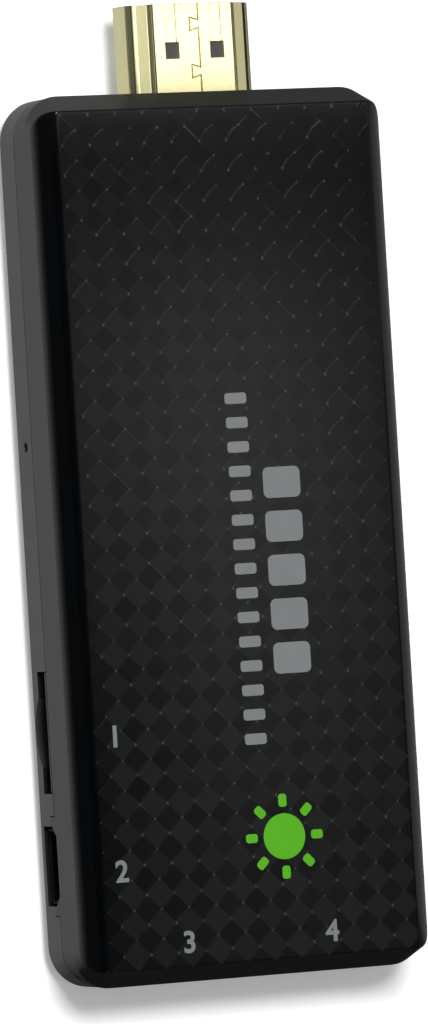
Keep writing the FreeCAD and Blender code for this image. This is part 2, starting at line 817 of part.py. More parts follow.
# Circuit board: rounded corners, a notch for the large socket and holes for screws and pins.
board = new_body("main_board")
sketch = new_sketch(board, "XY_Plane", s.board_bottom)
draw_rounded(sketch, -board_side, board_side, board_rear, board_front, s.board_radius)
pad(board, sketch, s.board_thickness)
sketch = new_sketch(board, "XY_Plane", board_top)
host_back_y = far_end + s.host_setback + s.host_depth
draw_rectangle(sketch, host_left - s.notch_gap, host_right + s.notch_gap,
               board_rear - s.fit_gap, host_back_y + s.notch_gap)
pocket(board, sketch, s.board_thickness)
sketch = new_sketch(board, "XY_Plane", board_top)
for across, along in pin_places + screw_places:
    draw_circle(sketch, across, along, s.pin_diameter + 2 * s.fit_gap)
pocket(board, sketch, s.board_thickness)

# Screws: a round head with a cross recess on a plain shank, one solid each.
screws = []
for across, along in screw_places:
    head = rod(across, along, board_top, s.screw_head_diameter, s.screw_head_height)
    shank = rod(across, along, board_top - s.screw_length, s.screw_diameter,
                s.screw_length + s.fit_gap)
    recess_z = board_top + s.screw_head_height - s.screw_slot_depth
    arm = s.screw_slot_length
    screws.append(cut(
        fuse(head, shank),
        centred(across, along, recess_z, arm, s.screw_slot_width, s.screw_head_height),
        centred(across, along, recess_z, s.screw_slot_width, arm, s.screw_head_height)))
name_part(group(screws), "board_screws")

# Display plug, metal: a folded sheet with bent edges, latch windows with lead-in grooves, and a
# seam down its narrow face that is locked by two dovetails.
shell = new_body("hdmi_plug_shell")
sketch = new_sketch(shell, "XZ_Plane", -plug_tip)
draw_outline(sketch, raised(plug_outline(0), plug_z))
blank = pad(shell, sketch, s.plug_length)
document.recompute()


def long_edges(shape):
    """Names of the straight edges that run along Y."""
    names = []
    for number, edge in enumerate(shape.Edges, start=1):
        way = edge.Vertexes[-1].Point - edge.Vertexes[0].Point
        if abs(way.x) + abs(way.z) < abs(way.y) / 1000:
            names.append(f"Edge{number}")
    return names


bend = shell.newObject("PartDesign::Fillet", "bend")
bend.Base = (blank, long_edges(blank.Shape))
bind(bend, "Radius", s.plug_bend)
sketch = new_sketch(shell, "XZ_Plane", -plug_tip)
draw_outline(sketch, raised(plug_outline(s.plug_metal), plug_z))
pocket(shell, sketch, s.plug_length, along_normal=True)

narrow_face = plug_z + s.plug_height / 2
window_y = plug_tip - s.latch_window_setback
sketch = new_sketch(shell, "XY_Plane", narrow_face)
for hand in (-1, 1):
    middle = hand * s.latch_window_spacing / 2
    half = s.latch_window_width / 2
    draw_rectangle(sketch, middle - half, middle + half, window_y - s.latch_window_length / 2,
                   window_y + s.latch_window_length / 2)
pocket(shell, sketch, s.plug_metal + s.fit_gap)
sketch = new_sketch(shell, "XY_Plane", narrow_face)
for hand in (-1, 1):
    middle = hand * s.latch_window_spacing / 2
    half = s.latch_groove_width / 2
    draw_rectangle(sketch, middle - half, middle + half, window_y, plug_tip + s.fit_gap)
pocket(shell, sketch, s.latch_groove_depth)


def seam_side(across, spread):
    """One side of the seam, from the tip to the back, with a dovetail at each lock."""
    points = [(across, plug_tip + s.fit_gap)]
    for start in (s.dovetail_first, s.dovetail_second):
        near = plug_tip - start
        far = near - s.dovetail_length
        points += [(across, near - s.dovetail_flare + spread),
                   (across - s.dovetail_reach, near + spread),
                   (across - s.dovetail_reach, far - spread),
                   (across, far + s.dovetail_flare - spread)]
    points.append((across, plug_back - s.fit_gap))
    return points


sketch = new_sketch(shell, "XY_Plane", narrow_face)
draw_outline(sketch, seam_side(s.dovetail_reach / 2, s.seam_width)
             + seam_side(s.dovetail_reach / 2 + s.seam_width, 0)[::-1])
pocket(shell, sketch, s.seam_depth)
sketch = new_sketch(shell, "XY_Plane", board_top)
wing_x = s.plug_width / 2 - s.plug_taper / 2 - s.plug_wing_width / 2
for hand in (-1, 1):
    middle = hand * wing_x
    half = s.plug_wing_width / 2
    draw_rectangle(sketch, middle - half, middle + half, plug_back - s.plug_wing_length,
                   plug_back + s.plug_metal)
pad(shell, sketch, s.plug_metal)

# Display plug, inside: an insulator with a slot for the socket's tongue, and two rows of contacts
# that run out of its back onto both faces of the board.
core_back = plug_tip - s.plug_recess - s.plug_core_length
contact_front = plug_tip - s.plug_recess - 2 * s.plug_metal
contact_back = board_front - s.plug_contact_tail
contact_rows = [(SIZES["plug_contact_count_above"], board_top),
                (SIZES["plug_contact_count_below"], s.board_bottom - s.plug_contact_thickness)]


def plug_contacts(row_count, row_z):
    """One row of straight contact strips, spread evenly across the plug."""
    strips = []
    for i in range(row_count):
        middle = (i - (row_count - 1) / 2) * s.plug_contact_pitch
        strips.append(block(middle - s.plug_contact_width / 2, contact_back, row_z,
                            s.plug_contact_width, contact_front - contact_back,
                            s.plug_contact_thickness))
    return strips


core = document.addObject("PartDesign::Body", "plug_core")
sketch = new_sketch(core, "XZ_Plane", -(plug_tip - s.plug_recess))
draw_outline(sketch, raised(plug_outline(s.plug_metal), plug_z))
pad(core, sketch, s.plug_core_length)
slot_low = s.board_bottom - s.plug_contact_thickness
slot_height = s.board_thickness + 2 * s.plug_contact_thickness
slot_front = plug_tip - s.plug_recess - s.tongue_slot_depth
tongue_slot = block(-s.tongue_slot_width / 2, slot_front, slot_low, s.tongue_slot_width,
                    s.tongue_slot_depth + s.fit_gap, slot_height)
hidden_rows = [strip for row_count, row_z in contact_rows
               for strip in plug_contacts(row_count, row_z)]
wing_room = [centred(hand * wing_x, plug_back, board_top, s.plug_wing_width,
                     2 * s.plug_metal, s.plug_metal) for hand in (-1, 1)]
name_part(cut(core, tongue_slot, group(hidden_rows + wing_room)), "hdmi_plug_insulator")
shown_rows = [strip for row_count, row_z in contact_rows
              for strip in plug_contacts(row_count, row_z)]
name_part(group(shown_rows), "hdmi_plug_contacts")

# Large socket at the far end: a metal shell sunk in the board's notch, with spring fingers cut in
# its two broad walls and wings that lie on the board.
host = new_body("host_port_shell")
host_front_y = far_end + s.host_setback
sketch = new_sketch(host, "XZ_Plane", -host_front_y)
draw_rounded(sketch, host_left, host_right, host_low, host_high, s.host_metal * 2)
pad(host, sketch, s.host_depth, reverse=True)
sketch = new_sketch(host, "XZ_Plane", -host_front_y)
draw_rounded(sketch, host_left + s.host_metal, host_right - s.host_metal,
             host_low + s.host_metal, host_high - s.host_metal, s.host_metal)
pocket(host, sketch, s.host_depth)
sketch = new_sketch(host, "XY_Plane", host_high + s.fit_gap)
finger_front = host_front_y + s.host_spring_setback
for hand in (-1, 1):
    middle = host_x + hand * s.host_spring_spacing / 2
    half = s.host_spring_width / 2
    slit = s.host_spring_slit
    finger_back = finger_front + s.host_spring_length
    draw_outline(sketch, [
        (middle - half - slit, finger_front - slit), (middle + half + slit, finger_front - slit),
        (middle + half + slit, finger_back), (middle + half, finger_back),
        (middle + half, finger_front), (middle - half, finger_front),
        (middle - half, finger_back), (middle - half - slit, finger_back)])
pocket(host, sketch, s.host_height + 2 * s.fit_gap)
sketch = new_sketch(host, "XY_Plane", board_top)
for hand in (-1, 1):
    edge = host_x + hand * (s.host_width / 2 - s.host_metal)
    outer = host_x + hand * (s.host_width / 2 + s.host_wing_width)
    low_x, high_x = (edge, outer) if hand > 0 else (outer, edge)
    for wing_y in (board_rear + s.host_wing_length, host_back_y - s.host_wing_length):
        draw_rectangle(sketch, low_x, high_x, wing_y - s.host_wing_length / 2,
                       wing_y + s.host_wing_length / 2)
pad(host, sketch, s.host_metal)

tongue_top = host_high - s.host_metal - s.host_tongue_headroom
tongue_low = tongue_top - s.host_tongue_thickness
tail_z = s.board_bottom - s.host_contact_thickness
jog_y = host_back_y + s.host_contact_tail / 2


def host_contacts():
    """Four contacts: along the tongue, out of the back, up a jog and under the board."""
    strips = []
    count = SIZES["host_contact_count"]
    for i in range(count):
        middle = host_x + (i - (count - 1) / 2) * s.host_contact_pitch
        left = middle - s.host_contact_width / 2
        front = host_back_y - s.host_back - s.host_tongue_length + s.host_contact_setback
        strips.append(fuse(
            block(left, front, tongue_low - s.host_contact_thickness, s.host_contact_width,
                  jog_y - front, s.host_contact_thickness),
            block(left, jog_y - s.host_contact_thickness, tongue_low - s.host_contact_thickness,
                  s.host_contact_width, s.host_contact_thickness,
                  s.board_bottom - tongue_low + s.host_contact_thickness),
            block(left, jog_y - s.host_contact_thickness, tail_z, s.host_contact_width,
                  s.host_contact_tail, s.host_contact_thickness)))
    return strips


back_core = document.addObject("PartDesign::Body", "host_core")
sketch = new_sketch(back_core, "XZ_Plane", s.host_back - host_back_y)
draw_rounded(sketch, host_left + s.host_metal, host_right - s.host_metal,
             host_low + s.host_metal, host_high - s.host_metal, s.host_metal)
pad(back_core, sketch, s.host_back, reverse=True)
tongue = block(host_x - s.host_tongue_width / 2, host_back_y - s.host_back
               - s.host_tongue_length, tongue_low, s.host_tongue_width,
               s.host_tongue_length + s.fit_gap, s.host_tongue_thickness)
name_part(cut(fuse(back_core, tongue), group(host_contacts())), "host_port_insulator")
name_part(group(host_contacts()), "host_port_contacts")


# Small sockets: one on the left wall and one at the far end, made alike under the board.
# Each is drawn with its mouth at y = 0 facing -Y and the board's underside at z = 0.
def micro_port(prefix, x, y, turn):
    """Shell, insulator and contacts of one small socket."""
    half = s.micro_width / 2
    knee = s.micro_side_height - s.micro_height

    def section(inset):
        narrow = half - s.micro_taper
        return [(inset - half, inset - s.micro_height), (half - inset, inset - s.micro_height),
                (half - inset, knee), (narrow - as_size(inset) / 2, -as_size(inset)),
                (as_size(inset) / 2 - narrow, -as_size(inset)), (inset - half, knee)]

    port = new_body(f"{prefix}_shell")
    outline = new_sketch(port, "XZ_Plane")
    draw_outline(outline, section(0))
    pad(port, outline, s.micro_depth, reverse=True)
    outline = new_sketch(port, "XZ_Plane")
    draw_outline(outline, section(s.micro_metal))
    pocket(port, outline, s.micro_depth)
    outline = new_sketch(port, "XY_Plane", -s.micro_metal)
    leg_y = s.micro_depth - s.micro_leg_width
    for hand in (-1, 1):
        near = hand * (half - s.micro_taper - s.micro_metal)
        far = hand * (half + s.micro_leg_reach)
        low_x, high_x = (near, far) if hand > 0 else (far, near)
        draw_rectangle(outline, low_x, high_x, leg_y - s.micro_leg_width, leg_y)
    pad(port, outline, s.micro_metal)
    place(port, x, y, s.board_bottom, turn)

    filler = document.addObject("PartDesign::Body", f"{prefix}_filler")
    outline = new_sketch(filler, "XZ_Plane", -(s.micro_depth - s.micro_back))
    draw_outline(outline, section(s.micro_metal))
    pad(filler, outline, s.micro_back, reverse=True)
    tongue_top_z = -s.micro_metal - s.micro_tongue_drop
    tongue_z = tongue_top_z - s.micro_tongue_thickness
    mouth = s.micro_depth - s.micro_back - s.micro_depth / 2
    leaf = centred(0, mouth + s.micro_depth / 4, tongue_z, s.micro_tongue_width,
                   s.micro_depth / 2 + s.fit_gap, s.micro_tongue_thickness)

    def strips():
        made = []
        thick = s.micro_contact_thickness
        jog = s.micro_depth + s.micro_contact_tail / 3
        count = SIZES["micro_contact_count"]
        for i in range(count):
            middle = (i - (count - 1) / 2) * s.micro_contact_pitch
            left = middle - s.micro_contact_width / 2
            front = mouth + 2 * s.fit_gap
            made.append(fuse(
                block(left, front, tongue_z - thick, s.micro_contact_width, jog - front, thick),
                block(left, jog - thick, tongue_z - thick, s.micro_contact_width, thick,
                      -tongue_z + thick),
                block(left, jog - thick, -thick, s.micro_contact_width, s.micro_contact_tail,
                      thick)))
        return made

    insulator = name_part(cut(fuse(filler, leaf), group(strips())), f"{prefix}_insulator")
    place(insulator, x, y, s.board_bottom, turn)
    contacts = name_part(group(strips()), f"{prefix}_contacts")
    place(contacts, x, y, s.board_bottom, turn)


micro_port("otg_port", -side + s.micro_setback, otg_y, -90)
micro_port("dc_port", s.dc_x, far_end + s.micro_setback, 0)

# Card socket under the board: a plastic base, a metal cover folded over it, eight contacts, and
# a push-push slider with its spring and the cam pin that latches it.
socket_left = -side + s.side_wall + s.socket_wall_gap
socket_right = socket_left + s.socket_depth
socket_low = s.board_bottom - s.socket_height
card_low_y = card_y - s.card_slot_width / 2
card_high_y = card_low_y + s.card_width
channel_low_y = card_high_y + s.slider_clearance
channel_high_y = channel_low_y + s.slider_width + 2 * s.slider_clearance
socket_high_y = channel_high_y + 2 * s.socket_metal
socket_low_y = socket_high_y - s.socket_width
base_bottom = s.board_bottom - s.socket_base_thickness
cover_top = socket_low + s.socket_metal

plate = block(socket_left, socket_low_y + s.socket_metal, base_bottom, s.socket_depth,
              s.socket_width - 2 * s.socket_metal, s.socket_base_thickness)
low_rail = block(socket_left, socket_low_y + s.socket_metal, cover_top, s.socket_depth,
                 card_low_y - socket_low_y - s.socket_metal, base_bottom - cover_top + s.fit_gap)
end_rail = block(socket_right - s.socket_end_wall, socket_low_y + s.socket_metal, cover_top,
                 s.socket_end_wall, s.socket_width - 2 * s.socket_metal,
                 base_bottom - cover_top + s.fit_gap)
slider_left = socket_left + s.slider_front_gap
pin_pivot_x = slider_left - s.cam_pin_wire * 2
pin_y = (channel_low_y + channel_high_y) / 2
front_rail = block(socket_left, channel_low_y, cover_top, s.slider_front_gap
                   - s.slider_clearance, s.slider_width + 2 * s.slider_clearance + s.socket_metal,
                   base_bottom - cover_top + s.fit_gap)
pin_seat = rod(pin_pivot_x, pin_y, cover_top - s.fit_gap, s.cam_pin_wire + 2 * s.fit_gap,
               base_bottom - cover_top)
pin_slot = block(pin_pivot_x, pin_y - s.heart_width / 2, cover_top - s.fit_gap,
                 s.cam_pin_wire * 2, s.heart_width, s.cam_pin_wire + 3 * s.fit_gap)


def card_contacts():
    """Eight contacts under the base, with tails that come out of its inner end."""
    strips = []
    count = SIZES["card_contact_count"]
    card_middle = (card_low_y + card_high_y) / 2
    for i in range(count):
        middle = card_middle + (i - (count - 1) / 2) * s.card_contact_pitch
        low = middle - s.card_contact_width / 2
        start = socket_right - s.socket_end_wall - s.card_contact_length
        thick = s.card_contact_thickness
        strips.append(fuse(
            block(start, low, base_bottom - thick, s.card_contact_length + s.socket_end_wall
                  + thick, s.card_contact_width, thick),
            block(socket_right, low, base_bottom - thick, thick, s.card_contact_width,
                  s.socket_base_thickness + thick),
            block(socket_right, low, s.board_bottom - thick, s.card_contact_tail,
                  s.card_contact_width, thick)))
    return strips


name_part(cut(fuse(plate, low_rail, end_rail, front_rail), pin_seat, pin_slot,
              group(card_contacts())), "card_socket_base")
name_part(group(card_contacts()), "card_socket_contacts")
cover_plate = block(socket_left, socket_low_y, socket_low, s.socket_depth, s.socket_width,
                    s.socket_metal)
cover_sides = [block(socket_left, wall_y, socket_low, s.socket_depth, s.socket_metal,
                     s.socket_height) for wall_y in (socket_low_y, socket_high_y - s.socket_metal)]
cover_window = centred(socket_left + s.cover_window_setback, card_y, socket_low - s.fit_gap,
                       s.cover_window_length, s.cover_window_width,
                       s.socket_metal + 2 * s.fit_gap)
name_part(cut(fuse(cover_plate, *cover_sides), cover_window), "card_socket_cover")

# The slider runs in its channel; its arm reaches into the card's way.
slider_low = cover_top + s.cam_pin_wire + s.slider_clearance
slider_height = base_bottom - slider_low - s.slider_clearance
slider_y = channel_low_y + s.slider_clearance
runner = block(slider_left, slider_y, slider_low, s.slider_length, s.slider_width, slider_height)
arm = block(slider_left + s.slider_length - s.slider_arm_length, slider_y - s.slider_arm_reach,
            slider_low, s.slider_arm_length, s.slider_arm_reach + s.fit_gap,
            slider_height - s.card_contact_thickness)
heart_x = pin_pivot_x + s.cam_pin_length - s.cam_pin_wire / 2 - s.slider_clearance
heart = block(heart_x - s.slider_travel - s.slider_clearance, pin_y - s.heart_width / 2,
              slider_low - s.fit_gap, s.heart_length, s.heart_width, s.heart_depth + s.fit_gap)
heart_island = centred(heart_x - s.slider_travel / 2 + s.slider_clearance,
                       pin_y - s.heart_island_offset, slider_low, s.heart_island_length,
                       s.heart_island_width, s.heart_depth)
name_part(fuse(cut(fuse(runner, arm), heart), heart_island), "card_slider")

# The cam pin is a bent wire: one leg turns in the base, the other runs in the heart track.
pin_z = cover_top + s.fit_gap / 2
pin_bar = block(pin_pivot_x, pin_y - s.cam_pin_wire / 2, pin_z, s.cam_pin_length,
                s.cam_pin_wire, s.cam_pin_wire)
pin_root = rod(pin_pivot_x, pin_y, pin_z, s.cam_pin_wire, s.cam_pin_wire * 3)
pin_tip = rod(pin_pivot_x + s.cam_pin_length, pin_y, pin_z, s.cam_pin_wire,
              s.cam_pin_wire + s.heart_depth)
name_part(fuse(pin_bar, pin_root, pin_tip), "card_cam_pin")


def coil_spring(label, start, length, middle_y, middle_z, diameter, wire, turns):
    """A compression spring along X: one wire swept along a helix."""
    thing = document.addObject("Part::Feature", label)
    radius = (diameter.number - wire.number) / 2
    helix = Part.makeHelix(length.number / turns, length.number, radius)
    ring = Part.makePolygon([
        FreeCAD.Vector(radius + across * wire.number / 2, 0, up * wire.number / 2)
        for across, up in ((-1, -1), (1, -1), (1, 1), (-1, 1), (-1, -1))])
    thing.Shape = Part.Wire(helix.Edges).makePipeShell([ring], True, True)
    thing.Placement = FreeCAD.Placement(
        FreeCAD.Vector(start.number, middle_y.number, middle_z.number),
        FreeCAD.Rotation(FreeCAD.Vector(0, 1, 0), 90))
    return name_part(thing, label)


spring_start = slider_left + s.slider_length + s.slider_clearance
spring_end = socket_right - s.socket_end_wall - s.slider_clearance
coil_spring("card_slider_spring", spring_start + s.slider_spring_wire / 2,
            spring_end - spring_start - s.slider_spring_wire, pin_y,
            (slider_low + base_bottom) / 2, s.slider_spring_diameter, s.slider_spring_wire,
            SIZES["slider_spring_turn_count"])

# Reset switch: a small side push switch behind the pinhole, hung under the board.
switch_front = -side + s.side_wall + s.switch_wall_gap
switch_low = s.board_bottom - s.reset_height
housing = block(switch_front + s.reset_metal, s.reset_y - s.reset_width / 2, switch_low,
                s.reset_depth, s.reset_width, s.reset_height)
well = rod(switch_front + s.reset_metal - s.fit_gap, s.reset_y, s.reset_z,
           s.reset_cavity_diameter, s.reset_cavity_depth + s.fit_gap, along="X")
name_part(cut(housing, well), "reset_switch_base")
face = block(switch_front, s.reset_y - s.reset_width / 2 - s.reset_metal, switch_low,
             s.reset_metal, s.reset_width + 2 * s.reset_metal, s.reset_height)
flanks = [block(switch_front, flank_y, switch_low, s.reset_flank_length, s.reset_metal,
                s.reset_height) for flank_y in (s.reset_y - s.reset_width / 2 - s.reset_metal,
                                                s.reset_y + s.reset_width / 2)]
face_hole = rod(switch_front - s.fit_gap, s.reset_y, s.reset_z, s.plunger_diameter
                + 2 * s.plunger_clearance, s.reset_metal + 2 * s.fit_gap, along="X")
name_part(cut(fuse(face, *flanks), face_hole), "reset_switch_cover")
flange_x = switch_front + s.reset_metal + s.plunger_clearance / 2
stem = rod(switch_front - s.plunger_proud, s.reset_y, s.reset_z, s.plunger_diameter,
           s.plunger_proud + s.reset_metal + s.plunger_clearance, along="X")
flange = rod(flange_x, s.reset_y, s.reset_z, s.plunger_flange_diameter, s.plunger_flange,
             along="X")
name_part(fuse(stem, flange), "reset_plunger")

# The snap dome is a thin spherical cap, bulging towards the plunger.
dome_radius = ((s.dome_diameter / 2) * (s.dome_diameter / 2) + s.dome_rise * s.dome_rise) / (
    2 * s.dome_rise)
well_floor = switch_front + s.reset_metal + s.reset_cavity_depth
dome_centre = well_floor - s.dome_rise + dome_radius


def ball(x, radius):
    """A sphere centred in the switch's well."""
    thing = document.addObject("Part::Sphere", "ball")
    bind(thing, "Radius", radius)
    return place(thing, x, s.reset_y, s.reset_z)


cap_keeper = rod(well_floor - s.dome_rise - s.fit_gap, s.reset_y, s.reset_z,
                 s.dome_diameter + s.fit_gap, s.dome_rise + s.fit_gap, along="X")
cap = document.addObject("Part::MultiCommon", "cap")
cap.Shapes = [ball(dome_centre, dome_radius), cap_keeper]
name_part(cut(cap, ball(dome_centre, dome_radius - s.dome_thickness)), "reset_switch_dome")

# Chips and other parts soldered to the board.
name_part(centred(0, s.processor_y, board_top, s.processor_size, s.processor_size,
                  s.processor_thickness), "processor")
name_part(group([centred(hand * s.memory_spacing / 2, s.memory_y, board_top, s.memory_length,
                         s.memory_width, s.memory_thickness) for hand in (-1, 1)]),
          "memory_chips")
flash_low = s.board_bottom - s.flash_thickness
flash_body = centred(0, s.flash_y, flash_low, s.flash_length, s.flash_width, s.flash_thickness)
flash_leads = []
lead_count = SIZES["flash_lead_count"]
for hand in (-1, 1):
    for i in range(lead_count):
        along = s.flash_y + (i - (lead_count - 1) / 2) * s.flash_lead_pitch
        reach = s.flash_lead_reach + s.fit_gap
        middle = hand * (s.flash_length / 2 + s.flash_lead_reach / 2 - s.fit_gap / 2)
        flash_leads.append(centred(middle, along, s.board_bottom - s.flash_lead_width, reach,
                                   s.flash_lead_width, s.flash_lead_width))
name_part(fuse(flash_body, *flash_leads), "flash_chip")
power_x = -board_side + s.power_chip_size
name_part(centred(power_x, s.power_chip_y, board_top, s.power_chip_size, s.power_chip_size,
                  s.power_chip_thickness), "power_chip")
radio_x = board_side - s.radio_side_gap - s.radio_size / 2
carrier = centred(radio_x, s.radio_y, board_top, s.radio_size, s.radio_size,
                  s.radio_carrier_thickness)
can = centred(radio_x, s.radio_y, board_top, s.radio_size - 4 * s.fit_gap,
              s.radio_size - 4 * s.fit_gap, s.radio_thickness)
name_part(fuse(carrier, can), "wifi_module")
name_part(group([
    centred(s.memory_spacing, s.processor_y, board_top, s.crystal_width, s.crystal_length,
            s.crystal_thickness),
    centred(0, s.radio_y, board_top, s.crystal_width, s.crystal_length, s.crystal_thickness)]),
    "crystals")

# Power inductors: a square base and top with a round winding between them.
inductors = []
for i in range(SIZES["inductor_count"]):
    x = power_x + i * (s.inductor_size + 2 * s.fit_gap) - s.fit_gap
    y = s.power_chip_y - s.power_chip_size - s.inductor_size / 4
    flange_height = s.inductor_height / 4
    inductors.append(fuse(
        centred(x, y, board_top, s.inductor_size, s.inductor_size, flange_height),
        rod(x, y, board_top, s.inductor_core, s.inductor_height),
        centred(x, y, board_top + s.inductor_height - flange_height, s.inductor_size,
                s.inductor_size, flange_height)))
name_part(group(inductors), "power_inductors")
capacitors = []
count = SIZES["capacitor_count"]
for i in range(count):
    along = s.processor_y + (i - (count - 1) / 2) * s.capacitor_pitch
    for hand in (-1, 1):
        across = hand * (s.processor_size / 2 + s.capacitor_gap + s.capacitor_width / 2)
        capacitors.append(centred(across, along, board_top, s.capacitor_width,
                                  s.capacitor_length, s.capacitor_width))
for hand in (-1, 1):
    capacitors.append(centred(power_x + hand * s.bulk_spacing / 2,
                              board_rear + s.micro_depth + s.bulk_width / 2, board_top,
                              s.bulk_width, s.bulk_length, s.bulk_height))
name_part(group(capacitors), "capacitors")

# Antenna: a stamped strip on two legs along the board's right edge.
antenna_x = board_side - s.antenna_width - s.antenna_edge_gap
strip_z = board_top + s.antenna_height - s.antenna_metal
antenna_top = block(antenna_x + s.antenna_width - s.antenna_metal * 2,
                    s.antenna_y - s.antenna_length / 2, board_top + s.antenna_metal,
                    s.antenna_metal, s.antenna_length, s.antenna_height - s.antenna_metal)
antenna_feet = [block(antenna_x + s.antenna_width - s.antenna_metal * 2 - s.antenna_width / 2,
                      s.antenna_y + offset, board_top, s.antenna_width / 2 + s.antenna_metal,
                      s.antenna_width, s.antenna_metal)
                for offset in (-s.antenna_length / 2, -s.antenna_length / 4)]
antenna_legs = [block(antenna_x + s.antenna_width - s.antenna_metal * 2, s.antenna_y + offset,
                      board_top, s.antenna_metal, s.antenna_width, 2 * s.antenna_metal)
                for offset in (-s.antenna_length / 2, -s.antenna_length / 4)]
name_part(fuse(antenna_top, *antenna_feet, *antenna_legs), "antenna")

# Heat path: a soft pad on the processor and a plate that spreads the heat under the roof.
name_part(centred(0, s.processor_y, board_top + s.processor_thickness, s.thermal_pad_size,
                  s.thermal_pad_size, s.thermal_pad_thickness), "thermal_pad")
spreader = new_body("heat_spreader")
sketch = new_sketch(spreader, "XY_Plane", spreader_bottom)
draw_rounded(sketch, -s.spreader_width / 2, s.spreader_width / 2,
             s.spreader_y - s.spreader_length / 2, s.spreader_y + s.spreader_length / 2,
             s.spreader_corner)
pad(spreader, sketch, s.spreader_thickness)

document.recompute()

# Every feature has to have worked, and every sub-part has to be sound, before any is written.
for thing in document.Objects:
    if "Invalid" in thing.State or "Error" in thing.State:
        raise RuntimeError(f"{thing.Name} ({thing.Label}) failed: {thing.State}")
for subpart in subparts:
    if subpart.Shape.isNull() or not subpart.Shape.isValid() or not subpart.Shape.Solids:
        raise RuntimeError(f"{subpart.Label} has no sound shape")

os.makedirs("parts", exist_ok=True)
for subpart in subparts:
    subpart.Shape.exportStep(f"parts/{subpart.Label}.step")
    box = subpart.Shape.BoundBox
    print(f"{subpart.Label}: {len(subpart.Shape.Solids)} solids, {subpart.Shape.Volume:.2f} mm3, "
          f"x {box.XMin:.2f} {box.XMax:.2f}, y {box.YMin:.2f} {box.YMax:.2f}, "
          f"z {box.ZMin:.2f} {box.ZMax:.2f}")
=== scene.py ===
# A streaming stick: two black covers round a circuit board, with a gold display plug at one end.
# The CAD nodes keep their shapes. This file gives them their finishes, adds the print on the top
# cover and a plug shell with rolled corners, and sets the floor, the lights and the camera. Lengths
# are in metres, or in millimetres where they are multiplied by mm or belong to a material.
from math import cos, pi, radians, sin

import bpy
from mathutils import Matrix, Vector


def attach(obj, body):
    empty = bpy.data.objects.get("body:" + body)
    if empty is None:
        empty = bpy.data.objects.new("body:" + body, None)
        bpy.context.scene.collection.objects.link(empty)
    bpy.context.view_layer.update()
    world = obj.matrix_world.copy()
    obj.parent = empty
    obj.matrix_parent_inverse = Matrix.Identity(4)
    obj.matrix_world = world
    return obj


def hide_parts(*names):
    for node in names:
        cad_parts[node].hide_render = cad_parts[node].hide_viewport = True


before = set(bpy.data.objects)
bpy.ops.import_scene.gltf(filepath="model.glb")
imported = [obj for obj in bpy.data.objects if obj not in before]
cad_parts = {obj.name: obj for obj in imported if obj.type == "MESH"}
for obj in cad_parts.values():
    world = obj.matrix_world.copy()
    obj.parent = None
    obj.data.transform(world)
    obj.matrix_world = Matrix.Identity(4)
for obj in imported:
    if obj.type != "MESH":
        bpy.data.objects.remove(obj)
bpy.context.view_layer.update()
mm = 0.001
cover_top = 11.7 * mm


# The camera stands well to the left of the stick and looks down on it through a long lens, as the
# photographer's did. It was fitted to the covers' corners and the plug.
view_data = bpy.data.cameras.new("photo_camera")
view_data.lens = 294.35
view_data.sensor_width = 36.0
view = bpy.data.objects.new("photo_camera", view_data)
view.location = (-0.355634, -0.008003, 0.768669)
view.rotation_euler = (radians(2.00966), radians(-24.92794), radians(-3.82117))
bpy.context.collection.objects.link(view)
bpy.context.scene.camera = view
bpy.context.scene.view_settings.view_transform = "Standard"


# The studio: a pale matt table that shows white to the camera and in gloss, and keeps the shadow,
# under a soft box and a pale ceiling in a dark room. As on a real set, gloss is shaped with cards
# placed for the camera's view: a soft gradient above, two at the sides, a dark one on the table.
def feed(tree, node, inputs):
    """Links or sets a node's inputs."""
    for name, value in inputs.items():
        if isinstance(value, bpy.types.NodeSocket):
            tree.links.new(value, node.inputs[name])
        else:
            node.inputs[name].default_value = value


def put(tree, kind, inputs=None, **settings):
    """Adds a shader node, with its settings and what goes into it."""
    added = tree.nodes.new("ShaderNode" + kind)
    for name, value in settings.items():
        setattr(added, name, value)
    feed(tree, added, inputs or {})
    return added


def calc(tree, operation, *terms):
    """Adds a Math node and gives its result."""
    inputs = {place: term for place, term in enumerate(terms)}
    return put(tree, "Math", inputs, operation=operation).outputs[0]


def chain(tree, operation, *terms):
    """Applies one Math operation along a row of terms."""
    result = terms[0]
    for term in terms[1:]:
        result = calc(tree, operation, result, term)
    return result


def squares(tree, first, second):
    """The sum of two numbers' squares."""
    return calc(tree, "ADD", calc(tree, "MULTIPLY", first, first),
                calc(tree, "MULTIPLY", second, second))


def away(tree, value, middle):
    """How far a value is from a middle, to either side."""
    return calc(tree, "ABSOLUTE", calc(tree, "SUBTRACT", value, middle))


def tint(tree, factor, low, high):
    """A colour between two, by a factor. Each is a plain colour or comes from another node."""
    ends = [end if isinstance(end, bpy.types.NodeSocket) else (*end, 1.0) for end in (low, high)]
    return put(tree, "MixRGB", {0: factor, 1: ends[0], 2: ends[1]}).outputs[0]


def axes_of(tree, vector):
    """The three parts of a vector, by their letters."""
    return put(tree, "SeparateXYZ", {0: vector}).outputs


def shades(tree, factor, stops):
    """Adds a colour ramp. Each stop is a place and a grey."""
    ramp = put(tree, "ValToRGB", {"Fac": factor})
    points = ramp.color_ramp.elements
    while len(points) < len(stops):
        points.new(1.0)
    for point, (place, tone) in zip(points, stops):
        point.position = place
        point.color = (tone, tone, tone, 1.0)
    return ramp.outputs["Color"]


def finish_named(name):
    """A new material, its node tree and its shader."""
    material = bpy.data.materials.new(name)
    material.use_nodes = True
    return material, material.node_tree, material.node_tree.nodes["Principled BSDF"]


def deselect():
    """Clears the selection."""
    bpy.ops.object.select_all(action="DESELECT")


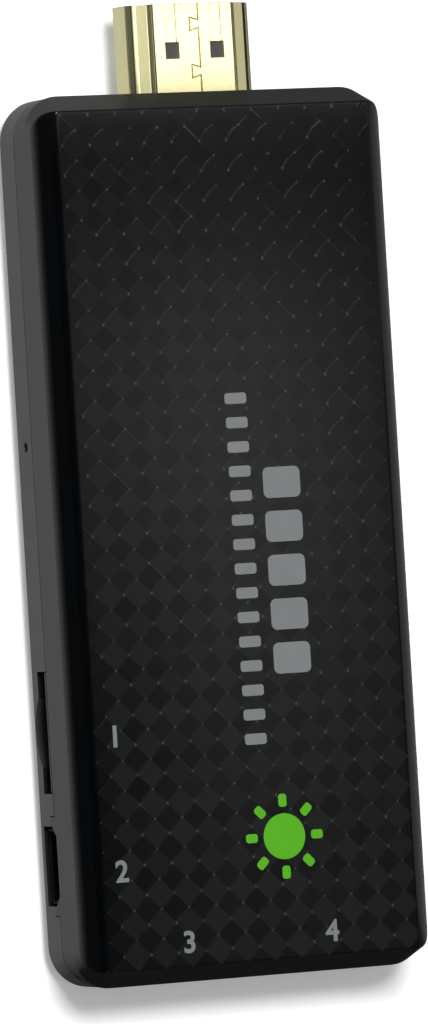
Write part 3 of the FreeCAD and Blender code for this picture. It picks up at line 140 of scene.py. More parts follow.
floor_glow = 0.26
floor_finish, tree, shader = finish_named("studio_floor")
shader.inputs["Base Color"].default_value = (0.88, 0.88, 0.88, 1.0)
shader.inputs["Roughness"].default_value = 0.9
shader.inputs["Specular IOR Level"].default_value = 0.0
ray = put(tree, "LightPath").outputs
seen = chain(tree, "MAXIMUM", ray["Is Camera Ray"], ray["Is Glossy Ray"],
             ray["Is Transmission Ray"])
shader.inputs["Emission Color"].default_value = (1.0, 1.0, 1.0, 1.0)
tree.links.new(calc(tree, "MULTIPLY", seen, floor_glow), shader.inputs["Emission Strength"])
deselect()
bpy.ops.mesh.primitive_plane_add(size=6.0, location=(0.0, 0.0, -0.02 * mm))
floor = bpy.context.object
floor.name = "studio_floor"
floor.data.materials.append(floor_finish)

sky_lean = -0.25
world = bpy.data.worlds.new("studio_sky")
bpy.context.scene.world = world
world.use_nodes = True
tree = world.node_tree
sky = tree.nodes["Background"]
towards = axes_of(tree, put(tree, "TexCoord").outputs["Generated"])
height = calc(tree, "MULTIPLY_ADD", towards["X"], sky_lean, towards["Z"])
overhead = shades(tree, height, [(0.0, 0.03), (0.84, 0.03), (0.97, 1.0)])
ray = put(tree, "LightPath").outputs
sky_colour = tint(tree, ray["Is Camera Ray"], overhead, (1.0, 1.0, 1.0))
tree.links.new(sky_colour, sky.inputs["Color"])
sky.inputs["Strength"].default_value = 0.8


def lamp(name, place, aim, width, length, power):
    """A soft box at a place, turned towards a point."""
    data = bpy.data.lights.new(name, "AREA")
    data.shape = "RECTANGLE"
    data.size = width
    data.size_y = length
    data.energy = power
    box = bpy.data.objects.new(name, data)
    box.location = place
    box.rotation_euler = (Vector(aim) - Vector(place)).to_track_quat("-Z", "Y").to_euler()
    bpy.context.collection.objects.link(box)


lamp("key_box", (-0.15, 0.30, 0.85), (0.0, 0.0, 0.0), 0.25, 0.25, 7.9)


def gloss_card(name, centre, width, length, brightness, turn=0.0):
    """A card that only gloss sees, level or turned about Y. Its brightness is worked out from X
    and Y in millimetres."""
    material = bpy.data.materials.new(name)
    material.use_nodes = True
    tree = material.node_tree
    tree.nodes.remove(tree.nodes["Principled BSDF"])
    axes = axes_of(tree, put(tree, "TexCoord").outputs["Object"])
    x, y = (calc(tree, "DIVIDE", axes[letter], mm) for letter in "XY")
    level = brightness(tree, x, y)
    glow = put(tree, "Emission", {"Color": (1.0, 1.0, 1.0, 1.0), "Strength": level})
    tree.links.new(glow.outputs[0], tree.nodes["Material Output"].inputs["Surface"])
    deselect()
    bpy.ops.mesh.primitive_plane_add(size=1.0)
    card = bpy.context.object
    card.name = name
    card.scale = (width, length, 1.0)
    card.rotation_euler = (0.0, turn, 0.0)
    card.location = centre
    bpy.ops.object.transform_apply(location=True, rotation=True, scale=True)
    card.data.materials.append(material)
    card.visible_camera = False
    card.visible_diffuse = False
    card.visible_transmission = False
    card.visible_shadow = False


def ramped(tree, value, start, end, low, high):
    """A number that goes smoothly from low to high while a value goes from start to end."""
    inputs = {"Value": value, "From Min": start, "From Max": end, "To Min": low, "To Max": high}
    return put(tree, "MapRange", inputs, interpolation_type="SMOOTHSTEP").outputs[0]


def gradient_above(tree, x, y):
    """Brightest over the middle, dimmer to its sides and its far end, and white by the plug."""
    brightest, bright_x, bright_y = 0.64, 118.0, 10.0
    reach_x, reach_y = 21.0, 37.0
    sideways = calc(tree, "DIVIDE", calc(tree, "SUBTRACT", x, bright_x), reach_x)
    lengthways = calc(tree, "DIVIDE", calc(tree, "SUBTRACT", y, bright_y), reach_y)
    off = squares(tree, sideways, lengthways)
    glow = calc(tree, "DIVIDE", brightest, calc(tree, "ADD", off, 1.0))
    corner = calc(tree, "MAXIMUM", ramped(tree, y, -30.0, 12.0, 0.45, 1.0),
                  ramped(tree, x, 98.0, 116.0, 0.45, 1.0))
    glow = chain(tree, "MULTIPLY", glow, ramped(tree, y, 22.0, 48.0, 1.0, 0.58), corner)
    start = calc(tree, "MAXIMUM", ramped(tree, x, 50.0, 80.0, 50.0, 55.4),
                 ramped(tree, x, -100.0, -60.0, 56.0, 50.0))
    near_plug = ramped(tree, calc(tree, "SUBTRACT", y, start), 0.0, 2.5, 0.0, 2.0)
    far_edge = ramped(tree, y, 70.0, 74.0, 1.0, 0.0)
    left_edge = ramped(tree, x, -230.0, -60.0, 0.0, 1.0)
    dip = ramped(tree, away(tree, x, -27.0), 5.0, 16.0, 0.25, 1.0)
    near_plug = chain(tree, "MULTIPLY", near_plug, far_edge, left_edge, dip)
    return calc(tree, "MAXIMUM", glow, near_plug)


def dark_table(tree, x, y):
    """Grey on the left, nearly black on the right and below, dark grey beyond the plug's end."""
    sides = ramped(tree, x, -12.0, 18.0, 0.55, 0.24)
    below = ramped(tree, y, -50.0, -46.0, 0.05, sides)
    beyond = ramped(tree, x, -8.0, 4.0, 0.55, 0.2)
    return ramped(tree, y, 38.0, 42.0, below, beyond)


gloss_card("gradient_card", (-0.09, 0.0, 0.262), 0.54, 0.17, gradient_above)
gloss_card("side_card", (0.29, 0.07, 0.207), 0.12, 0.1, lambda tree, x, y: 0.5)
gloss_card("left_card", (-0.252, 0.0655, 0.124), 0.248, 0.021, lambda tree, x, y: 0.12,
           turn=radians(90.0))
gloss_card("table_card", (0.0, 0.0, -0.01 * mm), 0.5, 0.5, dark_table)


# Lower cover: a moulded black tray with spark-grained satin walls, pressed onto the upper cover.
# The left wall has the pinhole, the card slot with its finger notch and the small socket's hole.
def in_mm(tree, shift=(0.0, 0.0, 0.0), stretch=(1.0, 1.0, 1.0)):
    """Object coordinates in millimetres, stretched and shifted."""
    place = put(tree, "TexCoord").outputs["Object"]
    scale = tuple(part / mm for part in stretch)
    return put(tree, "Mapping", {"Vector": place, "Location": shift, "Scale": scale}).outputs[0]


def noise(tree, vector, scale, detail=2.0, roughness=0.5):
    """Cloudy noise, about 0.5 on average."""
    inputs = {"Vector": vector, "Scale": scale, "Detail": detail, "Roughness": roughness}
    return put(tree, "TexNoise", inputs).outputs["Fac"]


def group_named(name, inputs, outputs):
    """A shader node group, and the sockets of its two end nodes. An input with no value is a
    vector, and the rest are numbers."""
    group = bpy.data.node_groups.new(name, "ShaderNodeTree")
    for label, value in inputs:
        kind = "NodeSocketVector" if value is None else "NodeSocketFloat"
        socket = group.interface.new_socket(label, in_out="INPUT", socket_type=kind)
        if value is not None:
            socket.default_value = value
    for label in outputs:
        group.interface.new_socket(label, in_out="OUTPUT", socket_type="NodeSocketFloat")
    given = group.nodes.new("NodeGroupInput").outputs
    gives = group.nodes.new("NodeGroupOutput").inputs
    return group, given, gives


def grouped(tree, group, inputs):
    """Places a node group in a material."""
    added = tree.nodes.new("ShaderNodeGroup")
    added.node_tree = group
    feed(tree, added, inputs)
    return added.outputs


grain_inputs = [("Place", None), ("Size", 0.15), ("Cloud Size", 8.0)]
grain, given, gives = group_named("moulded_grain", grain_inputs, ["Height", "Cloud"])
fine = noise(grain, given["Place"], calc(grain, "DIVIDE", 1.0, given["Size"]), 3.0, 0.6)
cloud = noise(grain, given["Place"], calc(grain, "DIVIDE", 1.0, given["Cloud Size"]), 4.0, 0.55)
grain.links.new(fine, gives["Height"])
grain.links.new(cloud, gives["Cloud"])

# An edge mask: worn edges, and on the plug's shell painted shade in its seam and grooves.
wear_and_shade_inputs = [("Place", None), ("Radius", 0.2 * mm), ("Patch Size", 1.5), ("Even", 0.0)]
edges, given, gives = group_named("edge_wear_and_shade", wear_and_shade_inputs, ["Wear"])
rounded = put(edges, "Bevel", {"Radius": given["Radius"]}, samples=4).outputs[0]
flat = put(edges, "NewGeometry").outputs["Normal"]
match = put(edges, "VectorMath", {0: rounded, 1: flat}, operation="DOT_PRODUCT").outputs["Value"]
sharp = calc(edges, "MULTIPLY", calc(edges, "SUBTRACT", 1.0, match), 6.0)
patch = noise(edges, given["Place"], calc(edges, "DIVIDE", 1.0, given["Patch Size"]), 3.0, 0.6)
patch = calc(edges, "MULTIPLY_ADD", calc(edges, "SUBTRACT", patch, 0.35), 3.0, given["Even"])
worn_and_shaded = calc(edges, "MULTIPLY", calc(edges, "MINIMUM", sharp, 1.0),
            calc(edges, "MAXIMUM", patch, 0.0))
edges.links.new(calc(edges, "MINIMUM", worn_and_shaded, 1.0), gives["Wear"])


def between(tree, factor, low, high):
    """A number between two, by a factor."""
    return put(tree, "MapRange", {"Value": factor, "To Min": low, "To Max": high}).outputs[0]


def moulded(name, dark, light, rough, grain_size, depth, wear_and_shade=0.3, soft_edge=0.12, painted_shade=None):
    """A moulded plastic: cloudy colour, spark grain, softened and slightly worn edges. Where
    painted shade is given, it is painted black there and made fully rough."""
    material, tree, shader = finish_named(name)
    place = in_mm(tree)
    skin = grouped(tree, grain, {"Place": place, "Size": grain_size})
    worn_and_shaded = grouped(tree, edges, {"Place": place})["Wear"]
    colour = tint(tree, skin["Cloud"], dark, light)
    bright = tuple(min(1.0, part * 1.8 + 0.01) for part in light)
    colour = tint(tree, calc(tree, "MULTIPLY", worn_and_shaded, wear_and_shade), colour, bright)
    gloss = between(tree, skin["Cloud"], rough - 0.07, rough + 0.07)
    if painted_shade:
        share = painted_shade(tree)
        colour = tint(tree, share, colour, (0.0, 0.0, 0.0))
        gloss = between(tree, share, gloss, 1.0)
    tree.links.new(colour, shader.inputs["Base Color"])
    tree.links.new(gloss, shader.inputs["Roughness"])
    soft = put(tree, "Bevel", {"Radius": soft_edge * mm}, samples=4).outputs[0]
    bumped = put(tree, "Bump", {"Strength": depth, "Distance": 0.02 * mm, "Height": skin["Height"],
                                "Normal": soft})
    tree.links.new(bumped.outputs[0], shader.inputs["Normal"])
    return material


def dress(material, *names):
    """Puts a finish on CAD nodes."""
    for name in names:
        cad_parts[name].material_slots[0].material = material


def painted_shade_in_openings(tree):
    """Painted shade: full in the card slot and the side hole, and less in the finger notch, all
    behind the left wall's skin and above the bevel of the foot. Lengths are in millimetres."""
    wall_skin, wall_back, foot_bevel = -19.21, -10.0, 2.05
    openings_y, openings_reach = -28.8, 12.5
    notch_y, notch_reach, notch_shade = -23.2, 3.6, 0.68
    notch_top, slot_bottom = 3.15, 3.21
    axes = axes_of(tree, in_mm(tree))
    behind_skin = calc(tree, "GREATER_THAN", axes["X"], wall_skin)
    before_back = calc(tree, "LESS_THAN", axes["X"], wall_back)
    near = calc(tree, "LESS_THAN", away(tree, axes["Y"], openings_y), openings_reach)
    above = calc(tree, "GREATER_THAN", axes["Z"], foot_bevel)
    notch_or_slot = ramped(tree, axes["Z"], notch_top, slot_bottom, notch_shade, 1.0)
    past_notch = calc(tree, "GREATER_THAN", away(tree, axes["Y"], notch_y), notch_reach)
    shade = calc(tree, "MAXIMUM", notch_or_slot, past_notch)
    return chain(tree, "MULTIPLY", behind_skin, before_back, near, above, shade)


# The lower cover is painted black inside its card slot and side hole, as painted shade.
satin_black = moulded("satin_black", (0.050, 0.050, 0.050), (0.064, 0.064, 0.065), 0.46, 0.16, 0.5,
                      painted_shade=painted_shade_in_openings)
dress(satin_black, "lower_cover")


# Upper cover: gloss black, with a woven film moulded into its face: diamonds about 3 mm across,
# alternately darker and lighter, with thin bright threads and a painted glint at each crossing.
weave_column = 2.995
weave_row = 2.985
weave_shift = (-0.2745, -0.515, 0.0)
weave_shear = 0.0175
film_half_width = 16.7
cell_dark, cell_light = (0.0018, 0.0020, 0.0021), (0.0100, 0.0106, 0.0106)
thread_grey = (0.019, 0.0205, 0.0205)
painted_glint_grey = (0.050, 0.053, 0.054)
shoulder_black = (0.0014, 0.0018, 0.0022)
plug_end_painted_light = (0.011, 0.0118, 0.0125)
wall_dark, wall_light = (0.030, 0.030, 0.030), (0.040, 0.040, 0.041)
end_rough, wall_rough = 0.5, 0.46


def patches(tree, place, scale, bare, contrast, least):
    """Soft patches, for a mark that shows in some places and fades in others."""
    blot = calc(tree, "SUBTRACT", noise(tree, place, scale, 3.0, 0.6), bare)
    blot = calc(tree, "MULTIPLY", blot, contrast)
    return put(tree, "Clamp", {"Value": blot, "Min": least}).outputs[0]


def line(tree, gap, half_width):
    """Full on a line and gone at its half width from it."""
    return ramped(tree, gap, 0.0, half_width, 1.0, 0.0)


# The cells: each diamond lies between two threads of either family, and has a name and a tone.
film_black, tree, shader = finish_named("film_black")
place = in_mm(tree, weave_shift)
axes = axes_of(tree, place)
sheared = calc(tree, "MULTIPLY_ADD", axes["Y"], weave_shear, axes["X"])
across = calc(tree, "DIVIDE", sheared, weave_column)
along = calc(tree, "DIVIDE", axes["Y"], weave_row)
left_thread = calc(tree, "ADD", across, along)
right_thread = calc(tree, "SUBTRACT", across, along)
left_cell = calc(tree, "FLOOR", left_thread)
right_cell = calc(tree, "FLOOR", right_thread)
cell = calc(tree, "ADD", left_cell, right_cell)
checker = calc(tree, "FLOORED_MODULO", cell, 2.0)
cell_name = put(tree, "CombineXYZ", {"X": left_cell, "Y": right_cell}).outputs[0]
odd_tone = put(tree, "TexWhiteNoise", {"Vector": cell_name}).outputs["Value"]

# The threads: bowed strokes on every second row, faint lines elsewhere, and a painted glint where
# two cross. As painted light, the cells are lighter and the strokes weaker towards one corner of
# the face.
left_gap = calc(tree, "PINGPONG", left_thread, 0.5)
row_place = calc(tree, "SUBTRACT", left_thread, right_thread)
bow = calc(tree, "MULTIPLY", calc(tree, "SINE", calc(tree, "MULTIPLY", row_place, pi)), -0.06)
right_gap = calc(tree, "PINGPONG", calc(tree, "ADD", right_thread, bow), 0.5)
drawn = calc(tree, "FLOORED_MODULO", calc(tree, "FLOOR", row_place), 2.0)
# Painted light: the cells grow lighter and the strokes weaker towards the lower left corner of the
# face.
lean = calc(tree, "SUBTRACT", calc(tree, "MULTIPLY", axes["Y"], -1.0), axes["X"])
corner_painted_light = put(tree, "MapRange", {"Value": lean, "From Min": -40.0, "From Max": 45.0, "To Min": 0.12,
                                "To Max": 1.0}).outputs[0]
weak = calc(tree, "SUBTRACT", 0.8, calc(tree, "MULTIPLY", corner_painted_light, 0.45))
stroke = chain(tree, "MULTIPLY", line(tree, right_gap, 0.09), drawn, weak,
               patches(tree, place, 0.33, 0.36, 5.0, 0.15))
faint = calc(tree, "MULTIPLY", line(tree, left_gap, 0.06),
             patches(tree, place, 0.27, 0.52, 7.0, 0.12))
rest = calc(tree, "MULTIPLY", line(tree, right_gap, 0.06),
            patches(tree, place, 0.41, 0.5, 5.0, 0.1))
thread = calc(tree, "MAXIMUM", faint, rest)
thread = calc(tree, "MAXIMUM", stroke, calc(tree, "MULTIPLY", thread, 0.6))
cross_gap = calc(tree, "SQRT", squares(tree, left_gap, right_gap))
dot = calc(tree, "MULTIPLY", line(tree, cross_gap, 0.10),
           patches(tree, place, 0.9, 0.3, 4.0, 0.35))
tone = calc(tree, "ADD", calc(tree, "MULTIPLY", checker, 0.65),
            calc(tree, "MULTIPLY", odd_tone, 0.35))
film_colour = tint(tree, calc(tree, "MULTIPLY", tone, corner_painted_light), cell_dark, cell_light)
film_colour = tint(tree, thread, film_colour, thread_grey)
film_colour = tint(tree, dot, film_colour, painted_glint_grey)

# Round the film: plain gloss on the shoulders, satin on the walls and where the shoulders run into
# them, and a half-matt bevel at each end.
skin = grouped(tree, grain, {"Place": in_mm(tree), "Size": 0.16})
facing = axes_of(tree, put(tree, "NewGeometry").outputs["True Normal"])
is_wall = calc(tree, "LESS_THAN", calc(tree, "ABSOLUTE", facing["Z"]), 0.1)
is_face = calc(tree, "GREATER_THAN", facing["Z"], 0.97)
is_end = calc(tree, "GREATER_THAN", calc(tree, "ABSOLUTE", facing["Y"]), 0.3)
facing_plug_painted_light = calc(tree, "GREATER_THAN", facing["Y"], 0.3)
cell_middle = calc(tree, "ADD", calc(tree, "MULTIPLY", cell, weave_column / 2),
                   weave_column / 2 - weave_shift[0])
on_film = calc(tree, "LESS_THAN", calc(tree, "ABSOLUTE", cell_middle), film_half_width)
fade = ramped(tree, axes_of(tree, in_mm(tree))["Z"], 9.4, 10.5, 1.0, 0.0)
fade = calc(tree, "MULTIPLY", fade, calc(tree, "SUBTRACT", 1.0, is_end))
is_satin = calc(tree, "MAXIMUM", is_wall, fade)
cover_colour = tint(tree, calc(tree, "MULTIPLY", is_face, on_film), shoulder_black, film_colour)
cover_colour = tint(tree, is_satin, cover_colour, tint(tree, skin["Cloud"], wall_dark, wall_light))
# Painted light: every face turned towards the plug gets a lighter black than the shoulders.
cover_colour = tint(tree, facing_plug_painted_light, cover_colour, plug_end_painted_light)
tree.links.new(cover_colour, shader.inputs["Base Color"])
rough = calc(tree, "ADD", calc(tree, "MULTIPLY", skin["Cloud"], 0.05), 0.06)
rough = between(tree, is_end, rough, end_rough)
rough = between(tree, is_satin, rough, wall_rough)
tree.links.new(rough, shader.inputs["Roughness"])
soft = put(tree, "Bevel", {"Radius": 0.4 * mm}, samples=6).outputs[0]
relief = calc(tree, "MAXIMUM", calc(tree, "MULTIPLY", skin["Height"], is_wall),
              calc(tree, "MULTIPLY", thread, is_face))
bumped = put(tree, "Bump", {"Strength": 0.3, "Distance": 0.01 * mm, "Height": relief,
                            "Normal": soft})
tree.links.new(bumped.outputs[0], shader.inputs["Normal"])
dress(film_black, "upper_cover")


# Print on the top cover: screen-printed ink, 0.02 mm thick. A row of small bars, a row of plain
# blocks, a green sun, and a number beside each socket.
ink_thickness = 0.02 * mm


def ink(name, dark, light):
    """Screen ink: nearly even, with pinholes and a matt skin."""
    material, tree, shader = finish_named(name)
    skin = grouped(tree, grain, {"Place": in_mm(tree), "Size": 0.09, "Cloud Size": 2.5})
    tree.links.new(tint(tree, skin["Cloud"], dark, light), shader.inputs["Base Color"])
    tree.links.new(between(tree, skin["Height"], 0.35, 0.6), shader.inputs["Roughness"])
    bumped = put(tree, "Bump", {"Strength": 0.3, "Distance": 0.005 * mm, "Height": skin["Height"]})
    tree.links.new(bumped.outputs[0], shader.inputs["Normal"])
    shader.inputs["Specular IOR Level"].default_value = 0.3
    return material


grey_ink = ink("grey_ink", (0.165, 0.175, 0.18), (0.20, 0.212, 0.215))
green_ink = ink("green_ink", (0.075, 0.37, 0.005), (0.095, 0.43, 0.008))


def rounded_plate(name, width, length, corner):
    """A flat plate of ink with rounded corners, standing on the cover's face."""
    deselect()
    bpy.ops.mesh.primitive_cube_add(size=1.0)
    plate = bpy.context.object
    plate.name = name
    plate.scale = (width, length, ink_thickness)
    plate.location = (0.0, 0.0, cover_top + ink_thickness / 2)
    bpy.ops.object.transform_apply(location=True, rotation=True, scale=True)
    bpy.ops.object.mode_set(mode="EDIT")
    bpy.ops.mesh.select_mode(type="EDGE")
    bpy.ops.mesh.select_all(action="DESELECT")
    bpy.ops.object.mode_set(mode="OBJECT")
    for edge in plate.data.edges:
        ends = [plate.data.vertices[index].co for index in edge.vertices]
        edge.select = abs(ends[0].z - ends[1].z) > ink_thickness / 2
    bpy.ops.object.mode_set(mode="EDIT")
    bpy.ops.mesh.bevel(offset=corner, segments=5, affect="EDGES")
    bpy.ops.object.mode_set(mode="OBJECT")
    return plate


def copied(piece, move):
    """A copy of a piece with its own mesh, moved by a matrix."""
    twin = piece.copy()
    twin.data = piece.data.copy()
    twin.data.transform(move)
    bpy.context.collection.objects.link(twin)
    return twin


def joined(name, pieces, material):
    """Makes one piece of several, with its finish, and lets it ride with the stick."""
    deselect()
    for piece in pieces:
        piece.select_set(True)
    bpy.context.view_layer.objects.active = pieces[0]
    if len(pieces) > 1:
        bpy.ops.object.join()
    piece = bpy.context.view_layer.objects.active
    piece.name = name
    piece.data.name = name
    piece.data.materials.clear()
    piece.data.materials.append(material)
    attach(piece, "stick")
    return piece


def row_of(pattern, x, first, last, count):
    """Copies of one plate along Y, evenly spaced from the first to the last centre."""
    step = (last - first) / (count - 1)
    places = [Matrix.Translation((x, first + step * index, 0.0)) for index in range(count)]
    row = [copied(pattern, place) for place in places]
    bpy.data.objects.remove(pattern)
    return row


bar = rounded_plate("bar", 2.4 * mm, 1.1 * mm, 0.3 * mm)
joined("print_bars", row_of(bar, 0.45 * mm, 9.0 * mm, -25.1 * mm, 15), grey_ink)
block = rounded_plate("block", 4.1 * mm, 3.1 * mm, 0.6 * mm)
joined("print_blocks", row_of(block, 5.0 * mm, 0.4 * mm, -17.2 * mm, 5), grey_ink)

sun_centre = Matrix.Translation((2.95 * mm, -35.0 * mm, 0.0))
deselect()
bpy.ops.mesh.primitive_cylinder_add(vertices=48, radius=2.3 * mm, depth=ink_thickness,
                                    location=(0.0, 0.0, cover_top + ink_thickness / 2))
bpy.ops.object.transform_apply(location=True, rotation=True, scale=True)
disc = bpy.context.object
ray_bar = rounded_plate("sun_ray", 0.9 * mm, 1.3 * mm, 0.3 * mm)
ray_out = Matrix.Translation((0.0, 3.6 * mm, 0.0))
ray_count = 8
rays = []
for index in range(ray_count):
    turn = Matrix.Rotation(2 * pi * index / ray_count, 4, "Z")
    rays.append(copied(ray_bar, sun_centre @ turn @ ray_out))
bpy.data.objects.remove(ray_bar)
disc.data.transform(sun_centre)
joined("print_sun", [disc] + rays, green_ink)


digit_share = 0.7


def number(name, digit, x, y, high):
    """A plain number in ink, upright when the plug points away. Its height is a fixed share of the
    letters' size."""
    deselect()
    bpy.ops.object.text_add()
    text = bpy.context.object
    text.data.body = digit
    text.data.align_x = "CENTER"
    text.data.align_y = "CENTER"
    text.data.size = high / digit_share
    text.data.extrude = ink_thickness / 2
    text.data.offset = 0.07 * mm
    bpy.ops.object.convert(target="MESH")
    text = bpy.context.object
    text.location = (x, y, cover_top + ink_thickness / 2)
    bpy.ops.object.transform_apply(location=True, rotation=True, scale=True)
    bpy.ops.object.mode_set(mode="EDIT")
    bpy.ops.mesh.select_all(action="SELECT")
    bpy.ops.mesh.remove_doubles(threshold=0.001 * mm)
    bpy.ops.mesh.normals_make_consistent(inside=False)
    bpy.ops.object.mode_set(mode="OBJECT")
    joined(name, [text], grey_ink)


number_places = [("1", -14.95, -24.0), ("2", -15.05, -37.4), ("3", -8.15, -44.9),
                 ("4", 7.65, -44.9)]
for digit, x, y in number_places:
    number(f"print_number_{digit}", digit, x * mm, y * mm, 2.1 * mm)


# Display plug: a folded gold-plated sheet, dovetailed along a seam, round a dark grey moulded core
# with two rows of gold contacts. It is pressed into a notch in the board, between the covers.
def plated(name, low, high, rough, brush=(0.6, 0.6, 0.6), wear_and_shade=(0.9, 0.9, 0.9), wear_and_shade_share=0.3,
           wear_and_shade_radius=0.2, even=0.0):
    """A plated sheet metal: rolling lines along the sheet, faint stains and worn edges. On the
    plug's shell the dark edge colour is also painted shade in its seam and grooves.
    """
    material, tree, shader = finish_named(name)
    lines = noise(tree, in_mm(tree, stretch=brush), 3.0, 4.0, 0.6)
    place = in_mm(tree)
    stain = noise(tree, place, 0.7, 4.0, 0.6)
    colour = tint(tree, stain, low, high)
    worn_and_shaded = grouped(tree, edges, {"Place": place, "Radius": wear_and_shade_radius * mm, "Even": even})["Wear"]
    colour = tint(tree, calc(tree, "MULTIPLY", worn_and_shaded, wear_and_shade_share), colour, wear_and_shade)
    tree.links.new(colour, shader.inputs["Base Color"])
    shader.inputs["Metallic"].default_value = 1.0
    tree.links.new(between(tree, lines, rough * 0.7, rough * 1.3), shader.inputs["Roughness"])
    soft = put(tree, "Bevel", {"Radius": 0.06 * mm}, samples=4).outputs[0]
    bumped = put(tree, "Bump", {"Strength": 0.12, "Distance": 0.01 * mm, "Height": lines,
                                "Normal": soft})
    tree.links.new(bumped.outputs[0], shader.inputs["Normal"])
    return material


# Its dark brown along sharp edges is wear, and painted shade in the seam and the grooves.
pale_gold = plated("pale_gold", (0.95, 0.88, 0.45), (0.99, 0.95, 0.57), 0.09,
                   brush=(2.0, 0.25, 2.0), wear_and_shade=(0.22, 0.13, 0.045), wear_and_shade_share=0.9,
                   wear_and_shade_radius=0.16, even=0.5)
dress(pale_gold, "hdmi_plug_shell")

# The shell's upper corners are rolled in an S: up the side, round a wide bend, along a shelf, and
# up a short riser to the face. The CAD shell has them straight, so this copy of it is cut across
# each corner in strips, outside the covers only, and the strips are laid along the roll. Each
# section of the roll has a length in millimetres and a turn in degrees.
roll = [(0.436, 0.0), (1.846, -75.0), (1.116, 0.0), (0.183, 42.0), (0.4085, 0.0), (0.2985, -57.0)]
strips = [1, 8, 1, 3, 1, 4]
holding_cuts = [0.06, 0.94, 1.0]
corner_start = Vector((-6.95, 5.454)) * mm
corner_end = Vector((-4.208, 8.125)) * mm
corner_run = (corner_end - corner_start).length
corner_way = (corner_end - corner_start).normalized()
corner_out = Vector((-corner_way.y, corner_way.x))
roll_length = sum(length for length, turn in roll)
sheet = 0.3 * mm
shell_from = 39.95 * mm
ring = 0.05 * mm
hair = 0.001 * mm

# The straight corner of the CAD shell: how far its sheet's outer and inner sides stand from the
# line between the corner's ends, and the shares of the line that the fillets at its ends take.
outer_side, lower_fillet, upper_fillet = 0.132 * mm, 0.085, 0.082
inner_side, inner_slope, inner_start = -0.144 * mm, -0.096 * mm, 0.073
inner_share = 0.85


def rolled_at(share):
    """The place on the roll at a share of its length, and the way out of the sheet there."""
    left = share * roll_length
    place, heading = corner_start.copy(), 90.0
    for length, turn in roll:
        part = max(0.0, min(left, length))
        turned = turn * part / length
        half = radians(turned) / 2
        chord = part * mm * (sin(half) / half if half else 1.0)
        middle = radians(heading + turned / 2)
        place += chord * Vector((cos(middle), sin(middle)))
        heading += turned
        left -= part
    return place, Vector((-sin(radians(heading)), cos(radians(heading))))


def corner_place(point):
    """How far along the straight corner a point is, as a share, and how far out of it."""
    offset = Vector((-abs(point.x), point.z)) - corner_start
    return offset.dot(corner_way) / corner_run, offset.dot(corner_out)


def in_corner(point, side):
    """Whether a point is in the corner at one side, outside the covers or in the ring behind."""
    share, out = corner_place(point)
    near = -0.01 <= share <= 1.01 and -sheet <= out <= 0.2 * mm
    return near and point.x * side > 0.0 and point.y > shell_from - 1.2 * ring


def cut(piece, faces, place, way):
    """Cuts some of a piece's faces with a plane."""
    for face in piece.data.polygons:
        face.select = face.index in faces
    bpy.ops.object.mode_set(mode="EDIT")
    bpy.ops.mesh.bisect(plane_co=place, plane_no=way, threshold=hair)
    bpy.ops.object.mode_set(mode="OBJECT")


deselect()
plug_shell = bpy.data.objects.new("plug_shell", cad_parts["hdmi_plug_shell"].data.copy())
bpy.context.collection.objects.link(plug_shell)
plug_shell.select_set(True)
bpy.context.view_layer.objects.active = plug_shell
bpy.ops.object.mode_set(mode="EDIT")
bpy.ops.mesh.select_mode(type="FACE")
bpy.ops.mesh.select_all(action="SELECT")
bpy.ops.mesh.remove_doubles(threshold=hair)
bpy.ops.object.mode_set(mode="OBJECT")
for y in (shell_from - ring, shell_from):
    cut(plug_shell, range(len(plug_shell.data.polygons)), (0.0, y, 0.0), (0.0, 1.0, 0.0))
shares = []
done = 0.0
for (length, turn), count in zip(roll, strips):
    steps = [(index + 1) / count for index in range(count)] if turn else holding_cuts
    shares += [(done + length * step) / roll_length for step in steps]
    done += length
for side in (-1.0, 1.0):
    for share in shares[:-1]:
        corners = [in_corner(vertex.co, side) for vertex in plug_shell.data.vertices]
        faces = {face.index for face in plug_shell.data.polygons
                 if all(corners[index] for index in face.vertices)}
        at = corner_start + corner_way * corner_run * share
        cut(plug_shell, faces, (-side * at.x, 0.0, at.y), (-side * corner_way.x, 0.0, corner_way.y))
for vertex in plug_shell.data.vertices:
    side = 1.0 if vertex.co.x > 0.0 else -1.0
    if in_corner(vertex.co, side) and vertex.co.y > shell_from - hair:
        share, out = corner_place(vertex.co)
        share = min(max(share, 0.0), 1.0)
        outer = outer_side * min(1.0, share / lower_fillet, (1.0 - share) / upper_fillet)
        inner = inner_side + inner_slope * (share - inner_start)
        depth = min(max((outer - out) / (outer - inner), 0.0), 1.0)
        if depth > inner_share:
            depth = 1.0
        place, way_out = rolled_at(share)
        place -= way_out * sheet * depth
        vertex.co.x = -side * place.x
        vertex.co.z = place.y
deselect()
plug_shell.select_set(True)
bpy.ops.object.mode_set(mode="EDIT")
bpy.ops.mesh.select_all(action="SELECT")
bpy.ops.mesh.remove_doubles(threshold=hair)
bpy.ops.mesh.dissolve_degenerate(threshold=hair)
bpy.ops.object.mode_set(mode="OBJECT")
bpy.ops.mesh.customdata_custom_splitnormals_clear()
plug_shell.data.update()
bpy.ops.object.shade_smooth_by_angle(angle=radians(30.0), keep_sharp_edges=False)
straight_ways = [0.0, 1.0, sin(radians(15.0)), sin(radians(57.0))]
same_way = 0.003
for face in plug_shell.data.polygons:
    straight = min(abs(abs(face.normal.x) - way) for way in straight_ways) < same_way
    face.use_smooth = not straight and face.center.y > shell_from
joined("plug_shell", [plug_shell], pale_gold)
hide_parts("hdmi_plug_shell")

